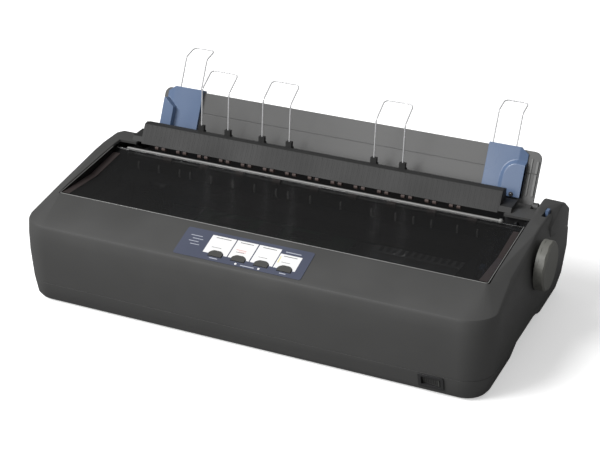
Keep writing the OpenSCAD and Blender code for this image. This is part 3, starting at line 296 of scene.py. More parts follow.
FRAME_STEEL = plastic("phosphate_frame", (0.035, 0.035, 0.037), gloss=(0.5, 0.6), grain=0.2)
# Brown for the strips along the cover's sides: a painted reflection.
PAINTED_REFLECTION = plastic("painted_brown_reflection", (0.034, 0.026, 0.025), gloss=(0.3, 0.4), grain=0.0)
GEARING = plastic("grey_acetal", (0.05, 0.05, 0.052), gloss=(0.35, 0.45), grain=0.1)
print("plastics:", len(bpy.data.materials) - 1)

# %% [markdown]
# Zinc-plated plate and ground bar are metal: the colour is the reflection, so mostly the roughness
# and the fine lines of rolling or grinding change over the surface. A Mapping node scales the noise
# along each axis: a scale under one draws it out into lines along that axis. Plate has its lines along
# X, and a ground bar, which lies along X, has them across. The paper wires are the exception: their
# plating is dull and pale, so they are metal in part only.

# %% Metals
def metal(name, colour, gloss, lines=(1, 1, 1), metallic=1.0):
    """Bare or plated metal with fine lines; lines is the scale of the pattern along each axis."""
    paint = bpy.data.materials.new(name)
    paint.use_nodes = True
    nodes, links = paint.node_tree.nodes, paint.node_tree.links
    shader = nodes["Principled BSDF"]
    shader.inputs["Metallic"].default_value = metallic
    place = nodes.new("ShaderNodeTexCoord").outputs["Object"]
    stretch = nodes.new("ShaderNodeMapping")
    stretch.inputs["Scale"].default_value = lines
    links.new(place, stretch.inputs["Vector"])
    fine = noise(nodes, links, stretch.outputs["Vector"], 0.0012, 3.0)
    broad = noise(nodes, links, place, 0.05)
    links.new(mottle(nodes, links, broad, colour, 0.06), shader.inputs["Base Color"])
    links.new(spread(nodes, links, fine, *gloss), shader.inputs["Roughness"])
    bump = nodes.new("ShaderNodeBump")
    bump.inputs["Strength"].default_value = 0.1
    bump.inputs["Distance"].default_value = 0.03 * MM
    links.new(fine, bump.inputs["Height"])
    links.new(bump.outputs["Normal"], shader.inputs["Normal"])
    return paint


ZINC = metal("zinc_plate", (0.56, 0.57, 0.58), (0.32, 0.45), lines=(0.15, 1, 1))
GROUND = metal("ground_steel", (0.66, 0.66, 0.67), (0.16, 0.26), lines=(4, 0.2, 0.2))
WIRE = metal("bright_wire", (0.70, 0.70, 0.71), (0.22, 0.3), metallic=0.3)
BRASS = metal("brass", (0.72, 0.53, 0.24), (0.22, 0.34))
BLACKED = metal("blacked_steel", (0.09, 0.09, 0.095), (0.38, 0.5))
print("metals:", ", ".join(m.name for m in (ZINC, GROUND, WIRE, BRASS, BLACKED)))

# %% [markdown]
# The cover is a smoked plastic, almost black and smooth. Light passes through it weakly, so
# the machine behind it shows only where it is pale. A partly transparent surface gives that with
# no refraction, which a thin flat sheet hardly shows anyway.

# %% Smoked cover
COVER_ALPHA = 0.62
SMOKED = plastic("smoked_cover", (0.004, 0.004, 0.0042), gloss=(0.17, 0.22), grain=0.0)
smoked_shader = SMOKED.node_tree.nodes["Principled BSDF"]
smoked_shader.inputs["Alpha"].default_value = COVER_ALPHA
smoked_shader.inputs["IOR"].default_value = 1.6
print("cover alpha", COVER_ALPHA)

# %% [markdown]
# ## Finishing the CAD pieces
# The CAD meshes are loose triangles with knife-sharp edges. A real moulding has a small radius on
# every edge, and that radius is what draws a bright line along it. So a copy of each node is
# merged, its flat areas are cleaned, and a Bevel modifier rounds what is sharp. The copy stands
# for the node and rides on the same body.

# %% A finished copy of a node
SHARP = math.radians(32)
FLAT = math.radians(0.4)
MERGE_DISTANCE = 0.002 * MM
ROUNDING_SEGMENTS = 2


def finished_copy(node, name, paint, radius):
    """A merged, smooth-shaded copy of a CAD node with its sharp edges rounded to radius."""
    source = NODES[node]
    bm = bmesh.new()
    bm.from_mesh(source.data)
    bmesh.ops.remove_doubles(bm, verts=bm.verts, dist=MERGE_DISTANCE)
    bmesh.ops.dissolve_limit(
        bm, angle_limit=FLAT, verts=bm.verts, edges=bm.edges, use_dissolve_boundaries=False
    )
    for face in bm.faces:
        face.smooth = True
    for edge in bm.edges:
        edge.smooth = len(edge.link_faces) == 2 and edge.calc_face_angle(0) < SHARP
    mesh = bpy.data.meshes.new(name)
    bm.to_mesh(mesh)
    bm.free()
    piece = bpy.data.objects.new(name, mesh)
    bpy.context.scene.collection.objects.link(piece)
    mesh.materials.append(paint)
    if radius:
        rounding = piece.modifiers.new("rounding", "BEVEL")
        rounding.limit_method = "ANGLE"
        rounding.angle_limit = SHARP
        rounding.width = radius
        rounding.segments = ROUNDING_SEGMENTS
        rounding.use_clamp_overlap = True
        rounding.harden_normals = True
    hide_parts(node)
    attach(piece, source["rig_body"])
    return piece


FINISHED = {
    "upper_case": ("case_top", CASE, 0.5),
    "lower_case": ("case_base", CASE, 0.5),
    "printer_cover": ("smoked_lid", SMOKED, 0.4),
    "stacker_bar": ("ribbed_bar", BAR, 0.25),
    "sheet_guide": ("sheet_panel", GUIDE, 0.5),
    "left_edge_guide": ("left_blue_guide", SLATE_BLUE, 0.5),
    "right_edge_guide": ("right_blue_guide", SLATE_BLUE, 0.5),
    "feed_knob": ("paper_knob", KNOB, 0.6),
    "release_lever": ("paper_lever", SLATE_BLUE, 0.4),
    "head_gap_lever": ("gap_lever", SLATE_BLUE, 0.3),
    "power_bezel": ("switch_frame", DARK, 0.3),
    "power_rocker": ("switch_rocker", KEYTOP, 0.4),
    "control_panel": ("panel_film_sheet", FILM, 0),
    "button_1": ("key_1", KEYTOP, 0.35),
    "button_2": ("key_2", KEYTOP, 0.35),
    "button_3": ("key_3", KEYTOP, 0.35),
    "button_4": ("key_4", KEYTOP, 0.35),
    "indicator_lamps": ("lamp_lenses", INK_WHITE, 0.2),
    "stacker_wire_1": ("wire_hoop_1", WIRE, 0),
    "stacker_wire_2": ("wire_hoop_2", WIRE, 0),
    "stacker_wire_3": ("wire_hoop_3", WIRE, 0),
    "left_extension_wire": ("left_wire", WIRE, 0),
    "right_extension_wire": ("right_wire", WIRE, 0),
    "platen_roller": ("platen_rubber", RUBBER, 0.5),
    "platen_shaft": ("platen_bar", GROUND, 0.3),
    "carriage_rod": ("carriage_bar", GROUND, 0.3),
    "tractor_drive_shaft": ("tractor_bar", GROUND, 0.3),
    "tractor_support_shaft": ("tractor_stay", GROUND, 0.3),
    "eject_shaft": ("eject_rollers", DARK, 0.3),
    "platen_gear": ("platen_wheel", GEARING, 0.15),
    "idler_gear_1": ("idler_wheel_1", GEARING, 0.15),
    "idler_gear_2": ("idler_wheel_2", GEARING, 0.15),
    "tractor_gear": ("tractor_wheel", GEARING, 0.15),
    "feed_pinion": ("pinion", BRASS, 0.1),
    "drive_pulley": ("belt_pulley", NYLON, 0.2),
    "tension_pulley": ("idle_pulley", NYLON, 0.2),
    "timing_belt": ("toothed_belt", RUBBER, 0),
    "carriage": ("head_carriage", DARK, 0.3),
    "print_head": ("head_casting", BLACKED, 0.25),
    "ribbon_mask": ("steel_mask", GROUND, 0),
    "ribbon_cartridge": ("cartridge_shell", DARK, 0.4),
    "ribbon_knob": ("cartridge_knob", KEYTOP, 0.3),
    "ribbon_band": ("inked_ribbon", RUBBER, 0),
    "paper_guide": ("ribbed_guide", DARK, 0.15),
    "left_tractor": ("left_tractor_block", DARK, 0.3),
    "right_tractor": ("right_tractor_block", DARK, 0.3),
    "left_tractor_cover": ("left_flap", DARK, 0.2),
    "right_tractor_cover": ("right_flap", DARK, 0.2),
    "feed_motor": ("feed_motor_can", BLACKED, 0.3),
    "carriage_motor": ("carriage_motor_can", BLACKED, 0.3),
    "guide_rail": ("rail", FRAME_STEEL, 0.2),
    "chassis_plate": ("chassis", ZINC, 0),
    "left_side_frame": ("left_frame", FRAME_STEEL, 0.15),
    "right_side_frame": ("right_frame", FRAME_STEEL, 0.15),
    "main_board": ("circuit_board", BOARD, 0),
    "power_supply": ("supply_box", ZINC, 0.3),
    "ac_inlet": ("mains_inlet", DARK, 0.4),
    "interface_connectors": ("connector_shells", ZINC, 0.3),
    "case_screws": ("base_screws", GROUND, 0.3),
    "rubber_feet": ("feet", RUBBER, 0.6),
}
PIECES = {}
for node, (name, paint, radius) in FINISHED.items():
    PIECES[node] = finished_copy(node, name, paint, radius * MM)
print("finished", len(PIECES), "copies;", sum(len(p.data.polygons) for p in PIECES.values()), "faces")

# %% [markdown]
# The CAD gears turn clear of each other. Cleaning and rounding together shift the surfaces of their
# copies a little, so in a turned pose the pinion's copy can touch the wheel beside it. So it is drawn
# smaller about its axis, to clear the wheel, which gives more play than the CAD gears have. With both
# gears left unrounded at full size, that pose was clear too.

# %% A smaller pinion
PINION_SHARE = 0.86
pinion_low, pinion_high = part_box("feed_pinion")
pinion_middle = (pinion_low + pinion_high) / 2
for vert in PIECES["feed_pinion"].data.vertices:
    for axis in (1, 2):
        vert.co[axis] = pinion_middle[axis] + PINION_SHARE * (vert.co[axis] - pinion_middle[axis])
print("pinion drawn at", PINION_SHARE, "of its size")

# %% [markdown]
# Some mouldings show a second colour: the pale ribs of the paper guide, the soft rollers on the
# eject shaft, the chips on the board and the lighter rim of the sheet guide. Their faces are picked
# by where they are and get a second material slot.

# %% Second colours
def second_colour(node, paint, chosen):
    """Gives the faces of a finished copy for which chosen(face) is true another paint."""
    mesh = PIECES[node].data
    mesh.materials.append(paint)
    count = 0
    for face in mesh.polygons:
        if chosen(face):
            face.material_index = 1
            count += 1
    print(node, count, "faces in", paint.name)


RIB_DEPTH = 1.9 * MM
CHIP_HEIGHT = 1.7 * MM
RIM_WIDTH = 18 * MM
rib_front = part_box("paper_guide")[0].y
second_colour("paper_guide", RIB, lambda f: f.center.y < rib_front + RIB_DEPTH)
SHAFT_RADIUS = 3.5 * MM
eject_y, eject_z = joint("eject_shaft_spin")["pos_m"][1:]
second_colour(
    "eject_shaft", SOFT_ROLL, lambda f: math.hypot(f.center.y - eject_y, f.center.z - eject_z) > SHAFT_RADIUS
)
chip_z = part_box("main_board")[1].z - CHIP_HEIGHT
second_colour("main_board", CHIP, lambda f: f.center.z > chip_z)
rim_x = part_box("sheet_guide")[1].x - RIM_WIDTH
second_colour("sheet_guide", PALE_RIM, lambda f: f.center.x > rim_x and f.normal.dot(GUIDE_OUT) > 0.9)

# %% [markdown]
# ## Small pieces
# What the CAD model leaves to this lesson is made with a few operators on a bmesh: straight drums
# between two points, boxes, and round bars swept along a path.

# %% Operators for small pieces
def finish_piece(bm, name, paint, body, rounding=0.0):
    """Turns a bmesh into a smooth piece with rounded edges that rides on a body."""
    bmesh.ops.recalc_face_normals(bm, faces=bm.faces)
    for face in bm.faces:
        face.smooth = True
    for edge in bm.edges:
        edge.smooth = len(edge.link_faces) == 2 and edge.calc_face_angle(0) < SHARP
    mesh = bpy.data.meshes.new(name)
    bm.to_mesh(mesh)
    bm.free()
    mesh.materials.append(paint)
    piece = bpy.data.objects.new(name, mesh)
    bpy.context.scene.collection.objects.link(piece)
    if rounding:
        bevel = piece.modifiers.new("rounding", "BEVEL")
        bevel.limit_method = "ANGLE"
        bevel.angle_limit = SHARP
        bevel.width = rounding
        bevel.segments = ROUNDING_SEGMENTS
        bevel.harden_normals = True
    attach(piece, body)
    return piece


def drum(bm, start, end, radius, end_radius=None, sides=24):
    """A closed round bar between two points."""
    run = end - start
    place = Matrix.Translation((start + end) / 2) @ run.to_track_quat("Z", "Y").to_matrix().to_4x4()
    last = radius if end_radius is None else end_radius
    bmesh.ops.create_cone(
        bm, cap_ends=True, segments=sides, radius1=radius, radius2=last, depth=run.length, matrix=place
    )


def block(bm, centre, size, turn=None):
    """A box about a centre, turned by a rotation matrix."""
    shape = Matrix.Diagonal((*size, 1))
    place = Matrix.Translation(centre) @ (turn.to_4x4() if turn else Matrix.Identity(4))
    bmesh.ops.create_cube(bm, size=1, matrix=place @ shape)


def swept(bm, path, radius, sides):
    """A round bar that follows a path, closed at both ends."""
    before = None
    for i, point in enumerate(path):
        run = path[min(i + 1, len(path) - 1)] - path[max(i - 1, 0)]
        place = Matrix.Translation(point) @ run.to_track_quat("Z", "Y").to_matrix().to_4x4()
        at_end = i in (0, len(path) - 1)
        ring = bmesh.ops.create_circle(bm, cap_ends=at_end, segments=sides, radius=radius, matrix=place)
        edges = list({e for v in ring["verts"] for e in v.link_edges})
        if before:
            bmesh.ops.bridge_loops(bm, edges=before + edges)
        before = edges


print("operators ready")

# %% [markdown]
# ## Ridge bar
# The cover's raised ridge carries a bar with a round end. Its light grey is a painted highlight, the shine
# along the ridge's edge. A drum and a sphere make it. It swings with the cover, close above the hinge.

# %% Ridge bar
HINGE = Vector(joint("cover_hinge")["pos_m"])
COVER_LOW, COVER_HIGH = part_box("printer_cover")
BAR_LOW, BAR_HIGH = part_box("stacker_bar")
RIDGE_BAR_RADIUS = 1.5 * MM
BALL_RADIUS = 2.6 * MM
ridge_y, ridge_z = HINGE.y - 3 * MM, HINGE.z + 1.5 * MM
ridge_start = Vector((COVER_LOW.x + 21 * MM, ridge_y, ridge_z))
ridge_end = Vector((COVER_HIGH.x - 36.5 * MM, ridge_y, ridge_z))
ball = Matrix.Translation(ridge_end + Vector((1.8 * MM, 0, 0)))
bm = bmesh.new()
drum(bm, ridge_start, ridge_end, RIDGE_BAR_RADIUS)
bmesh.ops.create_uvsphere(bm, u_segments=20, v_segments=12, radius=BALL_RADIUS, matrix=ball)
finish_piece(bm, "ridge_bar", HIGHLIGHT_GREY, "cover", 0.2 * MM)
print("ridge bar", round((ridge_end - ridge_start).length, 4), "m long")

# %% [markdown]
# ## Cover lip
# A thin light grey lip runs round the front and the sides of the cover, just inside the edge of the deck.
# Its light grey is a painted highlight, the bright line that the rounded rim catches. It is a round bar
# swept along the rim, with an arc at each front corner, and it rises with the deck.

# %% Cover lip
LIP_RADIUS = 0.45 * MM
LIP_GAP = 0.7 * MM
LIP_DROP = 4.1 * MM
LIP_END = 12 * MM
PIN_REACH = 6.2 * MM
CORNER = 3.4 * MM
DECK_RISE = 9.3 / 121.4
inset = LIP_RADIUS + LIP_GAP
lip_y = COVER_LOW.y + inset
middle_x = (COVER_LOW.x + COVER_HIGH.x) / 2
corner_x = (COVER_HIGH.x - COVER_LOW.x) / 2 - PIN_REACH - CORNER


def lip_point(x, y):
    """A point on the rim of the cover, whose sides rise with the deck."""
    return Vector((x, y, HINGE.z - LIP_DROP + DECK_RISE * (y - lip_y)))


path = [lip_point(middle_x - corner_x - CORNER + inset, HINGE.y - LIP_END)]
for side, angles in ((-1, range(180, 269, 15)), (1, range(270, 361, 15))):
    for angle in angles:
        turn = math.radians(angle)
        x = middle_x + side * corner_x + (CORNER - inset) * math.cos(turn)
        path.append(lip_point(x, lip_y + (CORNER - inset) * (1 + math.sin(turn))))
path.append(lip_point(middle_x + corner_x + CORNER - inset, HINGE.y - LIP_END))
bm = bmesh.new()
swept(bm, path, LIP_RADIUS, 10)
finish_piece(bm, "cover_lip", HIGHLIGHT_GREY, "cover")
print("cover lip through", len(path), "points")

# %% [markdown]
# ## Side strips of painted reflection
# A brownish reflection shows along the side of the cover, and it is painted: two thin brown plates on
# each side, one for each slope of the cover, give the painted reflection its fold.

# %% Side strips of painted reflection
REFLECTION_WIDTH = 8.5 * MM
REFLECTION_LIFT = 0.2 * MM
REFLECTION_THICKNESS = 0.25 * MM
REFLECTION_FROM_EDGE = 1.5 * MM
profile = [
    (COVER_LOW.y + 4 * MM, HINGE.z - 4.4 * MM),
    (HINGE.y - 65 * MM, HINGE.z - 7.6 * MM),
    (HINGE.y - 14 * MM, HINGE.z - 1.7 * MM),
]
bm = bmesh.new()
for side in (-1, 1):
    reflection_x = middle_x + side * (corner_x + CORNER - inset - REFLECTION_FROM_EDGE - REFLECTION_WIDTH / 2)
    for (near_y, near_z), (far_y, far_z) in zip(profile, profile[1:]):
        run = Vector((0, far_y - near_y, far_z - near_z))
        middle = Vector((reflection_x, (near_y + far_y) / 2, (near_z + far_z) / 2 + REFLECTION_LIFT))
        block(bm, middle, (REFLECTION_WIDTH, run.length, REFLECTION_THICKNESS), run.to_track_quat("Y", "Z").to_matrix())
finish_piece(bm, "side_painted_reflections", PAINTED_REFLECTION, "cover")
print("side tints", REFLECTION_WIDTH, "m wide")

# %% [markdown]
# ## Eject wheels
# Behind the ridge, small soft wheels hang in pairs under the stacker bar, over the paper's way out.
# Each pair has a hanger between its wheels. A dark plate covers the right end of the gap, where a
# white spot would show without it.

# %% Eject wheels
WHEEL_RADIUS = 3.1 * MM
WHEEL_WIDTH = 4.4 * MM
WHEEL_OFFSET = 4.2 * MM
WHEEL_DROP = 4.4 * MM
WHEEL_PITCH = 27 * MM
HANGER_SIZE = (2.4 * MM, 3.2 * MM, 6.0 * MM)
wheel_y, wheel_z = BAR_LOW.y + 2.6 * MM, BAR_LOW.z - WHEEL_DROP
first_x, last_x = BAR_LOW.x + 22 * MM, BAR_HIGH.x - 24 * MM
pair_x = [first_x + (i + 0.5) * WHEEL_PITCH for i in range(int((last_x - first_x) / WHEEL_PITCH))]
bm = bmesh.new()
for x in pair_x:
    for side in (-1, 1):
        middle = x + side * WHEEL_OFFSET
        left = Vector((middle - WHEEL_WIDTH / 2, wheel_y, wheel_z))
        right = Vector((middle + WHEEL_WIDTH / 2, wheel_y, wheel_z))
        drum(bm, left, right, WHEEL_RADIUS)
finish_piece(bm, "eject_wheels", SOFT_ROLL, "root", 0.4 * MM)
bm = bmesh.new()
for x in pair_x:
    block(bm, Vector((x, wheel_y, wheel_z + 1.9 * MM)), HANGER_SIZE)
finish_piece(bm, "wheel_hangers", DARK, "root", 0.3 * MM)
print("wheels:", 2 * len(pair_x))

# %% Gap end plate
PLATE_SIZE = (23 * MM, 1.2 * MM, 12 * MM)
bm = bmesh.new()
block(bm, Vector((BAR_HIGH.x + 5.5 * MM, BAR_LOW.y + 1.5 * MM, BAR_LOW.z - 6.7 * MM)), PLATE_SIZE)
finish_piece(bm, "gap_end_plate", DARK, "root", 0.3 * MM)
print("gap end plate", [round(v, 4) for v in PLATE_SIZE])

# %% [markdown]
# ## Switch and inlet
# The rocker has fine upright grip lines, and the mains inlet has its three pins. Both sit on a face of
# a finished copy, so a helper finds the widest face that looks one way, and a turn lays boxes on it.

# %% Finding a face
def widest_face(node, towards, limit=0.85):
    """Centre, outward normal, width along X and height of the widest face that looks one way."""
    mesh = PIECES[node].data
    facing = [f for f in mesh.polygons if f.normal.dot(towards) > limit]
    face = max(facing, key=lambda f: f.area)
    corners = [mesh.vertices[i].co for i in face.vertices]
    up = face.normal.cross(Vector((1, 0, 0)))
    width = max(c.x for c in corners) - min(c.x for c in corners)
    height = max(c.dot(up) for c in corners) - min(c.dot(up) for c in corners)
    return face.center.copy(), face.normal.copy(), width, height


def facing_turn(normal):
    """Rotation of a box so that its Z looks along normal and its X stays near the world's X."""
    across = Vector((1, 0, 0))
    across = (across - across.dot(normal) * normal).normalized()
    return Matrix((across, normal.cross(across), normal)).transposed()


print("face helpers ready")

# %% Rocker grip
GRIP_PITCH = 1.9 * MM
top, normal, width, height = widest_face("power_rocker", Vector((0, -1, 0)))
turn = facing_turn(normal)
bm = bmesh.new()
lines = int((width - 2 * MM) / GRIP_PITCH)
for i in range(lines):
    x = (i - (lines - 1) / 2) * GRIP_PITCH
    block(bm, top + turn @ Vector((x, 0, 0.1 * MM)), (0.8 * MM, height - 2.4 * MM, 0.6 * MM), turn)
finish_piece(bm, "rocker_grip", DARK, "power_rocker", 0.15 * MM)
print("grip lines:", lines)

# %% Inlet pins
PIN_LENGTH = 9 * MM
PIN_DEPTH = 3.6 * MM
PIN_PLACES = ((-7, 0.8), (0, -1.6), (7, 0.8))
top, normal = widest_face("ac_inlet", Vector((0, 1, 0)))[:2]
low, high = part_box("ac_inlet")
top = Vector(((low.x + high.x) / 2, top.y, (low.z + high.z) / 2))
turn = facing_turn(normal)
bm = bmesh.new()
for x, up in PIN_PLACES:
    middle = top - normal * (PIN_DEPTH + PIN_LENGTH / 2) + turn @ Vector((x * MM, up * MM, 0))
    block(bm, middle, (2.0 * MM, 4.2 * MM, PIN_LENGTH), turn)
finish_piece(bm, "inlet_pins", GROUND, "root", 0.4 * MM)
print("inlet pins:", len(PIN_PLACES))

# %% [markdown]
# ## Fine ribs of the stacker bar
# The front of the stacker bar has fine upright ribs all along. The CAD model has wider ones, six
# millimetres apart. A thin plate over the leaning face fills the ground between them, and a fine rib
# every two millimetres stands a little above it.

# %% Fine ribs
FINE_PITCH = 2.0 * MM
FINE_WIDTH = 0.9 * MM
BAR_FACE = Vector((0, -17.8, 11)).normalized()
top, normal, _, height = widest_face("stacker_bar", BAR_FACE, 0.995)
turn = facing_turn(normal)
low_x, high_x = BAR_LOW.x + 12 * MM, BAR_HIGH.x - 14 * MM
bm = bmesh.new()
middle = Vector(((low_x + high_x) / 2, top.y, top.z))
block(bm, middle + normal * 0.1 * MM, (high_x - low_x, height, 0.3 * MM), turn)
fine = int((high_x - low_x) / FINE_PITCH)
for i in range(fine):
    x = low_x + (i + 0.5) * FINE_PITCH
    block(bm, Vector((x, top.y, top.z)) + normal * 0.2 * MM, (FINE_WIDTH, height, 0.26 * MM), turn)
finish_piece(bm, "bar_fine_ribs", BAR, "root", 0.06 * MM)
print("fine ribs:", fine, "on a face", round(height, 4), "m high")

# %% [markdown]
# ## Moulded skins of the blue guides
# The blue guides are thin curved mouldings, and their sheen fades across each one. A skin over the
# front of each guide has that form: a grid laid over the outline, raised to the fence by a smooth
# step, and crowned a little in between. The outer strip slants back, as in the CAD model.

# %% Guide skins
EDGE_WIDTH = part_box("left_edge_guide")[1].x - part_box("left_edge_guide")[0].x
GUIDE_ORIGIN = Vector(joint("sheet_guide_hinge")["pos_m"])
SKIN_FOOT, SKIN_TOP, SKIN_CORNER = 6.0 * MM, 59.1 * MM, 52.9 * MM
FACET = 9.0 * MM
PLATE_FRONT, FACET_FRONT = 3.3 * MM, 1.3 * MM
SKIN_LIFT = 0.14 * MM
SKIN_DEPTH = 0.4 * MM
CROWN = 1.17 * MM


def left_fence(x, up):
    """How far (x, up) lies outside the left guide's fence; x counts from the guide's outer edge."""
    slant = (x - 12.6 * MM) * 0.6125 + (up - 35.4 * MM) * 0.7906
    return max(x - 13.5 * MM, slant, up - 44 * MM)


def right_fence(x, up):
    """The same for the right guide, whose fence ends in a quarter of an ellipse."""
    if up < 26 * MM:
        return x - 21 * MM
    if x < 9 * MM:
        return up - 40 * MM
    return (math.hypot((x - 9 * MM) / 12, (up - 26 * MM) / 14) / MM - 1) * 13 * MM


def skin_place(vert):
    """A grid vertex on a guide: x from the outer edge, height, share of the height, plate front."""
    x = (vert.co.x + 0.5) * EDGE_WIDTH
    share = vert.co.y + 0.5
    outside = max(FACET - x, 0) / FACET
    top = SKIN_TOP - outside * (SKIN_TOP - SKIN_CORNER)
    plate = PLATE_FRONT - outside * (PLATE_FRONT - FACET_FRONT)
    return x, SKIN_FOOT + share * (top - SKIN_FOOT), share, plate


def skin_front(x, up, share, plate, fence, fence_front, fall):
    """How far the front of a skin stands out: the crowned plate, and a smooth step up to the fence."""
    across = (x - FACET) / (EDGE_WIDTH - FACET)
    low = plate + SKIN_LIFT + CROWN * max(4 * across * (1 - across), 0) * (1 - share)
    step = min(max(1 - fence(x, up) / fall, 0), 1)
    step = step * step * (3 - 2 * step)
    return low + (fence_front + SKIN_LIFT - low) * step


def guide_skin(name, body, outer_x, inward, fence, fence_front, fall):
    """A crowned skin over the front of a blue guide."""
    bm = bmesh.new()
    bmesh.ops.create_grid(bm, x_segments=66, y_segments=72, size=0.5)
    fronts = bm.verts[:]
    made = bmesh.ops.extrude_face_region(bm, geom=bm.faces[:], use_keep_orig=True)
    out = {}
    for vert in fronts:
        out[vert] = skin_front(*skin_place(vert), fence, fence_front, fall)
    for vert in made["geom"]:
        if isinstance(vert, bmesh.types.BMVert):
            out[vert] = skin_place(vert)[3] - SKIN_DEPTH
    for vert in bm.verts:
        x, up = skin_place(vert)[:2]
        place = GUIDE_ORIGIN + GUIDE_UP * up + GUIDE_OUT * out[vert]
        vert.co = Vector((outer_x + inward * x, place.y, place.z))
    return finish_piece(bm, name, SLATE_BLUE, body, 0.35 * MM)


print("guide skins, each", round(EDGE_WIDTH, 4), "m wide")

# %% The two skins
left_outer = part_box("left_edge_guide")[0].x
right_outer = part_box("right_edge_guide")[1].x
guide_skin(
    "left_guide_skin", "left_edge_guide", left_outer, 1, left_fence, fence_front=9.8 * MM, fall=1.4 * MM
)
guide_skin(
    "right_guide_skin", "right_edge_guide", right_outer, -1, right_fence, fence_front=7.3 * MM, fall=5.5 * MM
)
print("skins from x", round(left_outer, 4), "to", round(right_outer, 4))

# %% [markdown]
# ## Pivot of the right guide
# The right blue guide has a small dark pivot near its foot, with a bright head.

# %% Pivot
PIVOT_UP, PIVOT_OUT, PIVOT_INSET = 8.6 * MM, 7.3 * MM, 9.5 * MM
PIVOT_RADIUS, PIVOT_HEIGHT = 2.4 * MM, 1.0 * MM
pivot = GUIDE_ORIGIN + GUIDE_UP * PIVOT_UP + GUIDE_OUT * PIVOT_OUT
pivot.x = right_outer - PIVOT_INSET
bm = bmesh.new()
drum(bm, pivot, pivot + GUIDE_OUT * PIVOT_HEIGHT, PIVOT_RADIUS)
finish_piece(bm, "guide_pivot", DARK, "right_edge_guide", 0.3 * MM)
bm = bmesh.new()
drum(bm, pivot + GUIDE_OUT * 0.9 * MM, pivot + GUIDE_OUT * 1.7 * MM, 1.2 * MM, 0.9 * MM)
finish_piece(bm, "pivot_head", GROUND, "right_edge_guide", 0.2 * MM)
print("pivot at", [round(v, 4) for v in pivot])

# %% [markdown]
# ## Printed panel
# The panel's film carries four white fields, one behind each key, and a few short marks. Here they
# are plain: white shapes with a notch round each key, and thin rules. A frame for them comes from
# the press joint of a key, which moves straight into the panel.

# %% Frame of the panel
PANEL_OUT = -Vector(joint("button_1_press")["axis"])
PANEL_UP = PANEL_OUT.cross(Vector((1, 0, 0)))
film_points = [v.co for v in NODES["control_panel"].data.vertices]
PANEL_TOP = max(p.dot(PANEL_OUT) for p in film_points)
PANEL_FOOT = min(p.dot(PANEL_UP) for p in film_points)
KEY_BOXES = [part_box(f"button_{i}") for i in (1, 2, 3, 4)]
KEY_X = [(low.x + high.x) / 2 for low, high in KEY_BOXES]
KEY_UP = 10.0 * MM
print("keys at", [round(x, 4) for x in KEY_X])


def on_panel(x, up, lift):
    """A point on the film: x along the case, up the slope from the film's lower edge."""
    return Vector((x, 0, 0)) + PANEL_UP * (PANEL_FOOT + up) + PANEL_OUT * (PANEL_TOP + lift)


# %% Fields and rules
INK = 0.04 * MM


def printed_shape(bm, outline, lift):
    """One flat printed shape with the thickness of a thick ink, from an outline on the film."""
    rim = [bm.verts.new(on_panel(x, up, lift)) for x, up in outline]
    face = bm.faces.new(rim)
    up = bmesh.ops.extrude_face_region(bm, geom=[face])
    lifted = [v for v in up["geom"] if isinstance(v, bmesh.types.BMVert)]
    bmesh.ops.translate(bm, verts=lifted, vec=PANEL_OUT * INK)
    bmesh.ops.recalc_face_normals(bm, faces=bm.faces)


def bar_outline(x, up, width, height):
    """A small rule, centred on (x, up)."""
    w, h = width / 2, height / 2
    return [(x - w, up - h), (x + w, up - h), (x + w, up + h), (x - w, up + h)]


def field_outline(low_x, high_x, low, high, key_x):
    """A field with a notch of a key's shape in its lower edge."""
    half = 8.3 * MM
    bow = 9.6 * MM
    centre = KEY_UP - 4.4 * MM
    top = KEY_UP + 4.7 * MM
    steps = 12
    arc = []
    for i in range(steps + 1):
        x = -half + 2 * half * i / steps
        arc.append((key_x + x, min(centre + math.sqrt(max(bow**2 - x**2, 0)), top)))
    notch = [(key_x - half, low), *arc, (key_x + half, low)]
    return [(low_x, low), *notch, (high_x, low), (high_x, high), (low_x, high)]


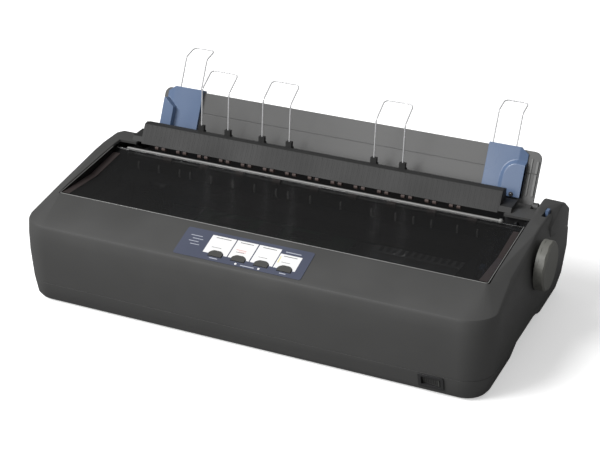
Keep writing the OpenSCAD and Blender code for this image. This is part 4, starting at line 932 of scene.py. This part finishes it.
def printed_piece(name, paint, outlines, lift=0.0):
    """A piece of printed shapes that rides on the case."""
    bm = bmesh.new()
    for outline in outlines:
        printed_shape(bm, outline, lift)
    mesh = bpy.data.meshes.new(name)
    bm.to_mesh(mesh)
    bm.free()
    mesh.materials.append(paint)
    piece = bpy.data.objects.new(name, mesh)
    bpy.context.scene.collection.objects.link(piece)
    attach(piece, "root")
    return piece


PANEL_X = sum(KEY_X) / 4
FIELDS_MM = [
    (-53.0, -26.0, 9.4, 34.6),
    (-24.8, -1.4, 9.4, 34.6),
    (-0.1, 24.5, 9.4, 34.6),
    (25.6, 49.3, 9.2, 29.2),
]
FIELDS = [(PANEL_X + a * MM, PANEL_X + b * MM, c * MM, d * MM) for a, b, c, d in FIELDS_MM]
fields = [field_outline(*field, key_x) for field, key_x in zip(FIELDS, KEY_X)]
printed_piece("white_fields", INK_WHITE, fields)
rules = [
    bar_outline(KEY_X[0], 3.4 * MM, 9 * MM, 1.1 * MM),
    bar_outline(KEY_X[3], 3.4 * MM, 7 * MM, 1.1 * MM),
]
rules.append(bar_outline((KEY_X[1] + KEY_X[2]) / 2, 2.2 * MM, 15 * MM, 1.1 * MM))
for i in range(4):
    rule_x = PANEL_X - 69 * MM + 3 * MM * (i % 2)
    rules.append(bar_outline(rule_x, (29 - 4 * i) * MM, (13 - i) * MM, 0.8 * MM))
rules.append(bar_outline(PANEL_X + 38 * MM, 32.6 * MM, 17 * MM, 1.1 * MM))
printed_piece("pale_rules", INK_PALE, rules)
marks = []
for (low_x, high_x, low, high), key_x in zip(FIELDS, KEY_X):
    middle, width = (low_x + high_x) / 2, high_x - low_x
    marks.append(bar_outline(middle, high - 2.6 * MM, 0.62 * width, 0.8 * MM))
    marks.append(bar_outline(middle - 2 * MM, low + 9 * MM, 0.4 * width, 0.5 * MM))
printed_piece("grey_rules", GUIDE, marks, INK)
accents = [
    bar_outline(PANEL_X - 15 * MM, 21.6 * MM, 11 * MM, 1.0 * MM),
    bar_outline(PANEL_X - 13 * MM, 19.4 * MM, 8 * MM, 0.7 * MM),
]
printed_piece("rose_rules", INK_ROSE, accents, INK)
printed_piece("yellow_rules", INK_YELLOW, [bar_outline(PANEL_X + 27.4 * MM, 21 * MM, 1.2 * MM, 9 * MM)], INK)
print("printed", len(fields), "fields and", len(rules) + len(marks) + len(accents) + 1, "marks")
